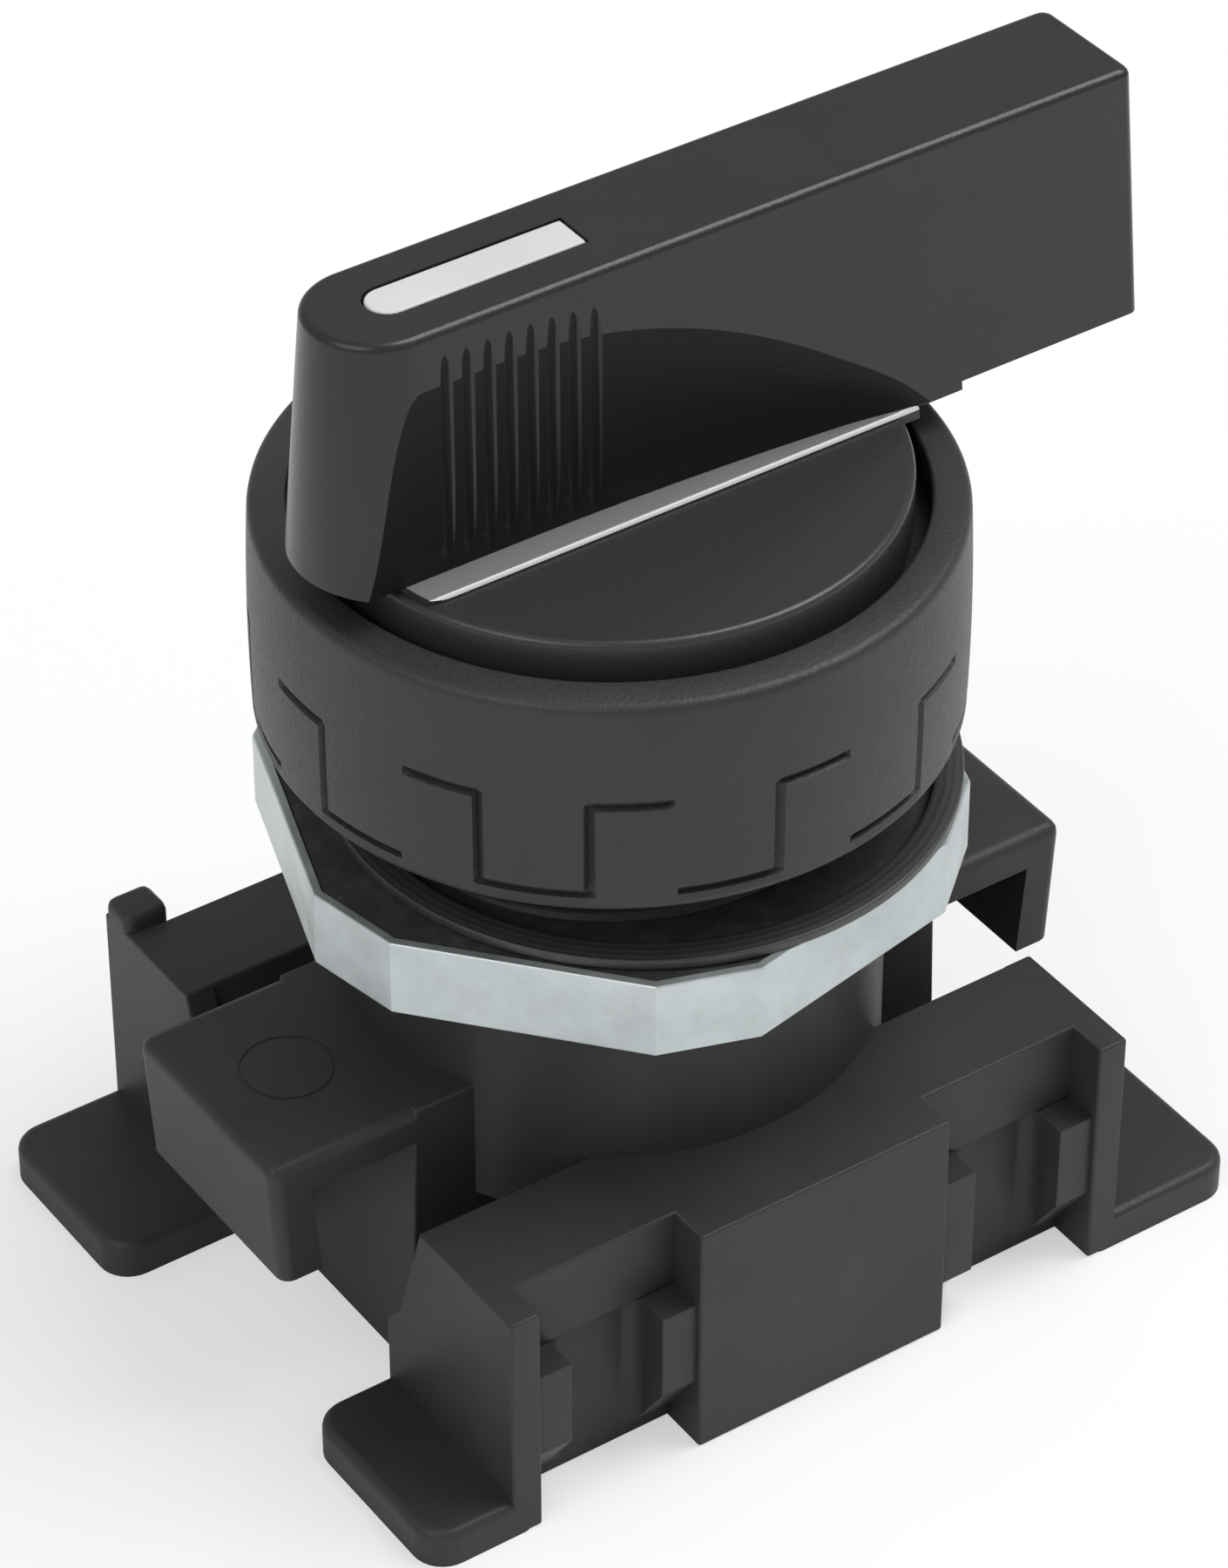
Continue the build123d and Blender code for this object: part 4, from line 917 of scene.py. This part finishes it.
def neck_profile(sizes):
    """The neck's closed profile with its rolled thread at an angle, as a function of that angle"""
    rows_per_pitch = 10
    step_z = sizes.thread_pitch / rows_per_pitch
    thread_rows = int(sizes.thread_length / step_z)

    def profile(angle):
        rows = [(sizes.neck_radius - sizes.thread_depth, 0.0)]
        for row in range(1, thread_rows):
            z = -row * step_z
            phase = (z / sizes.thread_pitch - angle / FULL_TURN) % 1.0
            crest = 1.0 - abs(2 * phase - 1.0)
            fade = min(1.0, row / rows_per_pitch, (thread_rows - row) / rows_per_pitch)
            depth = sizes.thread_depth * (1.0 - smooth_step(1.4 * crest - 0.2) * fade)
            rows.append((sizes.neck_radius - depth, z))
        return rows + [(sizes.barrel_radius, -sizes.thread_length), (sizes.barrel_radius, -sizes.neck_length),
                       (sizes.inner_radius, -sizes.neck_length), (sizes.inner_radius, 0.0)]

    return profile


class SWITCH_OT_bezel(bpy.types.Operator):
    """Builds the bezel with its castellated line, and the threaded neck below it"""
    bl_idname = "lever_switch.bezel"
    bl_label = "Bezel and Neck"

    def execute(self, context):
        sizes, finish = settings().bezel, settings().finish
        plastic = moulded_plastic("bezel_plastic", finish.bezel, 0.45, 5200.0, 0.00006)
        bezel = turned("bezel", bezel_profile(sizes), BEZEL_STEPS)
        finish_piece(bezel, plastic, BASE_BODY, ["bezel_housing"])
        finish_piece(turned("neck", neck_profile(sizes), NECK_STEPS), plastic, BASE_BODY)
        return {"FINISHED"}


# Nut, pad and gasket

def nut_outline(nut, inset):
    """Corners of the hexagon with cut corners, as two points beside each cut"""
    flat, corner = nut.flat - inset, nut.corner - inset
    step = math.pi / 6
    points = []
    for index in range(6):
        middle = nut.corner_angle + 2 * index * step
        along = (flat - corner * math.cos(step)) / math.sin(step)
        for side in (-1, 1):
            points.append((corner * math.cos(middle) - side * along * math.sin(middle),
                           corner * math.sin(middle) + side * along * math.cos(middle)))
    return points


class SWITCH_OT_nut(bpy.types.Operator):
    """Builds the locking nut, the black pad in its face and the loose gasket on it"""
    bl_idname = "lever_switch.nut"
    bl_label = "Nut, Pad and Gasket"

    def execute(self, context):
        nut, finish = settings().nut, settings().finish
        low_z = nut.top_z - nut.height
        over = nut.height
        body = prism("locking_nut_body", nut_outline(nut, 0.0), low_z, nut.top_z, "Z", nut.edge_round)
        recess = prism("recess", nut_outline(nut, nut.rim), nut.top_z - nut.recess, nut.top_z + over, "Z")
        bores = [prism("bore", circle_outline(nut.bore, NUT_BORE_STEPS), low_z - over, nut.top_z + over, "Z")
                 for _ in range(2)]
        combine(body, [recess, bores[0]], "DIFFERENCE")
        finish_piece(body, zinc_plate("zinc_plate", finish.zinc), "nut", ["locking_nut"],
                     lambda edge: edge.calc_face_angle(0.0) > NUT_SHARP_ANGLE)
        pad = prism("pad", nut_outline(nut, nut.rim + nut.pad_gap), nut.top_z - nut.recess,
                    nut.top_z - nut.pad_drop, "Z", nut.edge_round)
        combine(pad, [bores[1]], "DIFFERENCE")
        finish_piece(pad, rubber("pad_rubber", finish.rubber), "nut", ["nut_pad"])
        centre = (nut.gasket_x, nut.gasket_y)
        high_z = nut.top_z + nut.gasket_thickness
        edge = nut.gasket_thickness / 4
        ring = lathe("gasket", round_profile([
            (nut.gasket_bore, nut.top_z, edge), (nut.gasket_radius, nut.top_z, edge),
            (nut.gasket_radius, high_z, edge), (nut.gasket_bore, high_z, edge),
        ]), GASKET_STEPS, centre)
        finish_piece(ring, turned_rubber("gasket_rubber", finish.rubber, centre), "gasket",
                     ["panel_gasket"])
        return {"FINISHED"}


# Adapter

def rail_tab(a, root_x, away, low_z, foot_z):
    """Tab in front of the lower rail face, with a hollow round beside it and a slanted underside"""
    face_y = a.rail_step - a.rail_face_y
    tip_y = a.tab_setback - a.rail_front_y
    free_x = root_x + away * a.tab_width
    blend_x = free_x + away * a.tab_blend
    sink = 3 * a.edge_round
    hollow = arc_points(blend_x, face_y - a.tab_blend, a.tab_blend, QUARTER_TURN,
                        QUARTER_TURN * (1 + away), 6)
    outline = [(root_x - away * sink, face_y + sink), (blend_x, face_y + sink)] + hollow
    outline += [(free_x, tip_y), (root_x - away * sink, tip_y)]
    tab = prism("rail_tab", outline, a.low_z, a.rail_step_z, "Z", a.edge_round / 2, 2)
    over = a.tab_width
    near_x, far_x = sorted((root_x - away * over, blend_x + away * over))
    under = prism("tab_under", [
        (face_y, foot_z), (tip_y, low_z), (tip_y - over, low_z), (tip_y - over, a.low_z - over),
        (face_y + 2 * sink, a.low_z - over), (face_y + 2 * sink, foot_z),
    ], near_x, far_x, "X")
    return combine(tab, [under], "DIFFERENCE")


def adapter_rail(a, reaches):
    """The front rail's solids: plate, web, middle block, end walls, feet, tabs and link ribs"""
    inner = a.end_x - a.end_wall
    low_face = -a.rail_face_y + a.rail_step
    r = a.edge_round
    sink = 3 * r
    solids = [
        prism("rail_web", [
            (-a.rail_face_y, a.rail_top_z), (-a.rail_back_y, a.rail_top_z),
            (-a.rail_back_y, a.rail_top_z - a.rail_plate),
            (low_face + a.rail_web, a.rail_top_z - a.rail_plate),
            (low_face + a.rail_web, a.low_z), (low_face, a.low_z),
            (low_face, a.rail_step_z), (-a.rail_face_y, a.rail_step_z),
        ], -inner - sink, inner + sink, "X", r),
        prism("rail_block", [
            (-a.pad_half, -a.rail_front_y), (a.pad_half, -a.rail_front_y),
            (a.pad_half, low_face + sink), (-a.pad_half, low_face + sink),
        ], a.low_z, a.rail_top_z, "Z", r),
        rail_tab(a, -a.pad_half, -1, a.tab_low_z, a.tab_foot_z),
        rail_tab(a, a.pad_half, 1, a.long_tab_low_z, a.low_z),
    ]
    for side, foot_x in zip((-1, 1), reaches):
        wall = prism("rail_wall", [
            (-a.rail_front_y, a.rail_top_z), (-a.rail_back_y, a.rail_top_z), (-a.knee_y, a.knee_z),
            (-a.heel_y, a.heel_z), (-a.heel_y, a.low_z), (-a.rail_front_y, a.low_z),
        ], side * inner, side * a.end_x, "X", r)
        corner = a.foot_corner
        foot = prism("rail_foot", round_profile([
            (side * (inner + sink), -a.rail_front_y, 0.0), (side * foot_x, -a.rail_front_y, corner),
            (side * foot_x, -a.heel_y, corner), (side * (inner + sink), -a.heel_y, 0.0),
        ], 8), a.low_z, a.low_z + a.foot_thickness, "Z", a.foot_round, 4, a.low_z + a.foot_thickness / 2)
        rib = rounded_block("link_rib",
                            (side * a.rib_x - a.rib_width / 2, low_face + a.rail_web / 2, a.low_z),
                            (side * a.rib_x + a.rib_width / 2, -a.housing_y + sink, a.rib_top_z))
        solids += [wall, foot, rib, rail_tab(a, side * inner, -side, a.tab_low_z, a.tab_foot_z)]
    return solids


class SWITCH_OT_adapter(bpy.types.Operator):
    """Builds the contact block adapter: collar, housing, bridge and the two rails"""
    bl_idname = "lever_switch.adapter"
    bl_label = "Adapter"

    def execute(self, context):
        a, finish = settings().adapter, settings().finish
        r = a.edge_round
        collar = lathe("adapter", round_profile([
            (a.collar_bore, a.roof_z - a.wall, 0.0), (a.collar_radius, a.roof_z - a.wall, 0.0),
            (a.collar_radius, a.collar_top_z, r), (a.collar_bore, a.collar_top_z, r),
        ]), COLLAR_STEPS)
        floor = prism("collar_floor", circle_outline(a.collar_bore + r, COLLAR_BORE_STEPS), a.collar_low_z,
                      a.roof_z, "Z")
        housing = prism("housing", [
            (-a.housing_x, a.bridge_z), (a.housing_x, a.bridge_z),
            (a.housing_low_x, a.low_z), (-a.housing_low_x, a.low_z),
        ], -a.housing_y, a.housing_y, "Y", r)
        low_x = a.bridge_x - a.bridge_lean
        hook = [(a.bridge_x, a.bridge_z), (low_x, a.bridge_low_z), (low_x - a.bridge_wall, a.bridge_low_z),
                (a.bridge_x - a.bridge_wall, a.bridge_z - a.bridge_plate)]
        bridge = prism("bridge", hook + [(-x, z) for x, z in reversed(hook)], -a.housing_y, a.housing_y, "Y",
                       a.bridge_round, 4, a.bridge_z - a.bridge_round)
        solids = [floor, housing, bridge]
        for mirror_side in (False, True):
            reaches = (a.foot_rear_x, a.foot_left_x) if mirror_side else (a.foot_left_x, a.foot_right_x)
            parts = adapter_rail(a, reaches)
            rail = combine(parts[0], parts[1:], "UNION")
            if mirror_side:
                flipped = mirrored("rail_rear", rail)
                bpy.data.objects.remove(rail, do_unlink=True)
                rail = flipped
            solids.append(rail)
        lip = rounded_block("lip", (-a.end_x, a.rail_front_y - a.lip_width, a.rail_top_z - a.rail_plate),
                            (-a.end_x + a.lip_length, a.rail_front_y, a.rail_top_z + a.lip_height),
                            a.lip_round)
        solids.append(lip)
        combine(collar, solids, "UNION")
        inner_x, inner_y = a.housing_x - a.wall, a.housing_y - a.wall
        over = a.wall
        cutters = [
            prism("bore", circle_outline(a.collar_bore, COLLAR_BORE_STEPS), a.roof_z,
                  a.collar_top_z + over, "Z"),
            rounded_block("pocket", (-inner_x, -inner_y, a.low_z - over), (inner_x, inner_y, a.collar_low_z)),
        ]
        for side in (-1, 1):
            cutters.append(prism("stem_hole", circle_outline(a.stem_hole, HOLE_STEPS, (side * a.stem_x, 0.0)),
                                 a.collar_low_z - over, a.roof_z + over / 2, "Z"))
            inner, low, high = a.mark_radius - a.mark_width, a.bridge_z - a.mark_depth, a.bridge_z + over
            groove = [(inner, low), (a.mark_radius, low), (a.mark_radius, high), (inner, high)]
            cutters.append(lathe("mark", groove, MARK_STEPS, (side * a.mark_x, 0.0)))
        combine(collar, cutters, "DIFFERENCE")
        plastic = moulded_plastic("adapter_plastic", finish.adapter, 0.42, 8000.0, 0.00002, specular=0.24)
        finish_piece(collar, plastic, BASE_BODY, ["adapter_body"])
        return {"FINISHED"}


# Finishes of the inner pieces

class SWITCH_OT_inner(bpy.types.Operator):
    """Gives the inner mouldings, springs, pins, seal and screw their finishes"""
    bl_idname = "lever_switch.inner"
    bl_label = "Inner Pieces"

    def execute(self, context):
        finish = settings().finish
        natural = moulded_plastic("inner_plastic", finish.inner, 0.5, 6000.0, 0.00002, 0.06)
        steel = bright_metal("bright_steel", finish.steel, 0.28)
        seal = rubber("seal_rubber", finish.rubber)
        brass = bright_metal("turned_brass", finish.brass, 0.22)
        red = moulded_plastic("plunger_plastic", finish.plunger, 0.4, 6000.0, 0.00002, 0.08)
        for material, nodes in (
            (natural, ("rotor", "detent_ring", "plunger_guide")),
            (steel, ("hub_screw", "retaining_clip", "detent_spring_front", "detent_spring_rear",
                     "return_spring_left", "return_spring_right")),
            (seal, ("hub_seal",)),
            (brass, ("detent_pin_front", "detent_pin_rear")),
            (red, ("plunger_left", "plunger_right")),
        ):
            for node in nodes:
                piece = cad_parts[node]
                if not piece.material_slots:
                    piece.data.materials.append(material)
                for slot in piece.material_slots:
                    slot.material = material
        return {"FINISHED"}


# Stage

def add_lamp(name, energy, place, width, height):
    lamp = bpy.data.lights.new(name, "AREA")
    lamp.shape, lamp.size, lamp.size_y, lamp.energy = "RECTANGLE", width, height, energy
    holder = bpy.data.objects.new(name, lamp)
    bpy.context.scene.collection.objects.link(holder)
    holder.location = place
    holder.rotation_euler = (-Vector(place)).to_track_quat("-Z", "Y").to_euler()


def mix_white(tree, seen, lit, white_kind, output):
    """Shows plain white in place of a lit shader, by the share that is seen"""
    white = add(tree, white_kind, {"Color": WHITE, "Strength": 1.0}).outputs[0]
    mix = add(tree, "MixShader", {"Fac": seen, 1: lit, 2: white})
    tree.links.new(mix.outputs["Shader"], tree.nodes[output].inputs["Surface"])


class SWITCH_OT_stage(bpy.types.Operator):
    """Sets the camera, the pale floor, the lamps and the light from all round"""
    bl_idname = "lever_switch.stage"
    bl_label = "Stage"

    def execute(self, context):
        stage, adapter = settings().stage, settings().adapter
        context.scene.view_settings.view_transform = "Standard"
        self.add_world(context.scene, stage)
        self.add_camera(context.scene, stage)
        self.add_floor(stage, adapter.low_z)
        for name, energy in (("overhead", stage.key_power), ("side", stage.side_power)):
            add_lamp(name, energy, *LAMPS[name])
        return {"FINISHED"}

    @staticmethod
    def add_world(scene, stage):
        """Soft light from all round, which the camera sees as plain white"""
        scene.world = bpy.data.worlds.new("studio")
        scene.world.use_nodes = True
        tree = scene.world.node_tree
        lit = tree.nodes["Background"]
        feed(tree, lit, {"Color": WHITE, "Strength": stage.ambient})
        path = add(tree, "LightPath").outputs
        seen = calc(tree, "MAXIMUM", path["Is Camera Ray"], path["Is Transmission Ray"])
        mix_white(tree, seen, lit.outputs["Background"], "Background", "World Output")

    @staticmethod
    def add_camera(scene, stage):
        lens = bpy.data.cameras.new("camera")
        lens.lens, lens.clip_start, lens.clip_end = stage.lens, 0.01, 10.0
        camera = bpy.data.objects.new("camera", lens)
        scene.collection.objects.link(camera)
        azimuth, elevation = stage.azimuth, stage.elevation
        back = Vector((math.sin(azimuth) * math.cos(elevation), -math.cos(azimuth) * math.cos(elevation),
                       math.sin(elevation)))
        right = Vector((math.cos(azimuth), math.sin(azimuth), 0.0))
        up = back.cross(right)
        aim = right * stage.aim_right + up * stage.aim_up
        camera.matrix_world = Matrix.Translation(aim + back * stage.distance) @ Matrix(
            (right, up, back)).transposed().to_4x4()
        scene.camera = camera

    @staticmethod
    def add_floor(stage, level):
        """Pale floor that keeps the shadow near the object and turns plain white further out"""
        reach = stage.floor_reach
        mesh = bpy.data.meshes.new("floor")
        mesh.from_pydata([(-reach, -reach, level), (reach, -reach, level), (reach, reach, level),
                          (-reach, reach, level)], [], [(0, 1, 2, 3)])
        floor = make_object("floor", mesh)
        material, tree, shader = new_material("pale_floor")
        cloud = ramp(tree, noise(tree, 3.0, 2.0), grey(0.92), grey(0.95))
        feed(tree, shader, {"Base Color": cloud, "Roughness": 0.9, "Specular IOR Level": 0.1})
        place = add(tree, "TexCoord").outputs["Object"]
        away = add(tree, "VectorMath", {0: place}, operation="LENGTH").outputs["Value"]
        fade = add(tree, "MapRange", {
            "Value": away, "From Min": stage.shadow_near, "From Max": stage.shadow_far,
            "To Min": stage.floor_white, "To Max": 1.0,
        }, interpolation_type="SMOOTHSTEP").outputs["Result"]
        seen = product(tree, add(tree, "LightPath").outputs["Is Camera Ray"], fade)
        mix_white(tree, seen, shader.outputs["BSDF"], "Emission", "Material Output")
        floor.data.materials.append(material)


# Panel and registration

STEPS = ("lever", "bezel", "nut", "adapter", "inner", "stage")


class SWITCH_PT_panel(bpy.types.Panel):
    """Lists the steps that build the switch"""
    bl_idname = "SWITCH_PT_panel"
    bl_label = "Rotary Lever Switch"
    bl_space_type = "VIEW_3D"
    bl_region_type = "UI"
    bl_category = "Lever Switch"

    def draw(self, context):
        for step in STEPS:
            self.layout.operator("lever_switch." + step)


CLASSES = (
    LeverSizes, FlatSizes, InlaySizes, BezelSizes, NutSizes, AdapterSizes, FinishColours, StageSettings,
    SwitchSettings, SWITCH_OT_lever, SWITCH_OT_bezel, SWITCH_OT_nut, SWITCH_OT_adapter, SWITCH_OT_inner,
    SWITCH_OT_stage, SWITCH_PT_panel,
)


def register():
    for item in CLASSES:
        bpy.utils.register_class(item)
    bpy.types.Scene.lever_switch = PointerProperty(type=SwitchSettings)


def unregister():
    del bpy.types.Scene.lever_switch
    for item in reversed(CLASSES):
        bpy.utils.unregister_class(item)


def main():
    register()
    for step in STEPS:
        getattr(bpy.ops.lever_switch, step)()


if __name__ == "__main__":
    main()
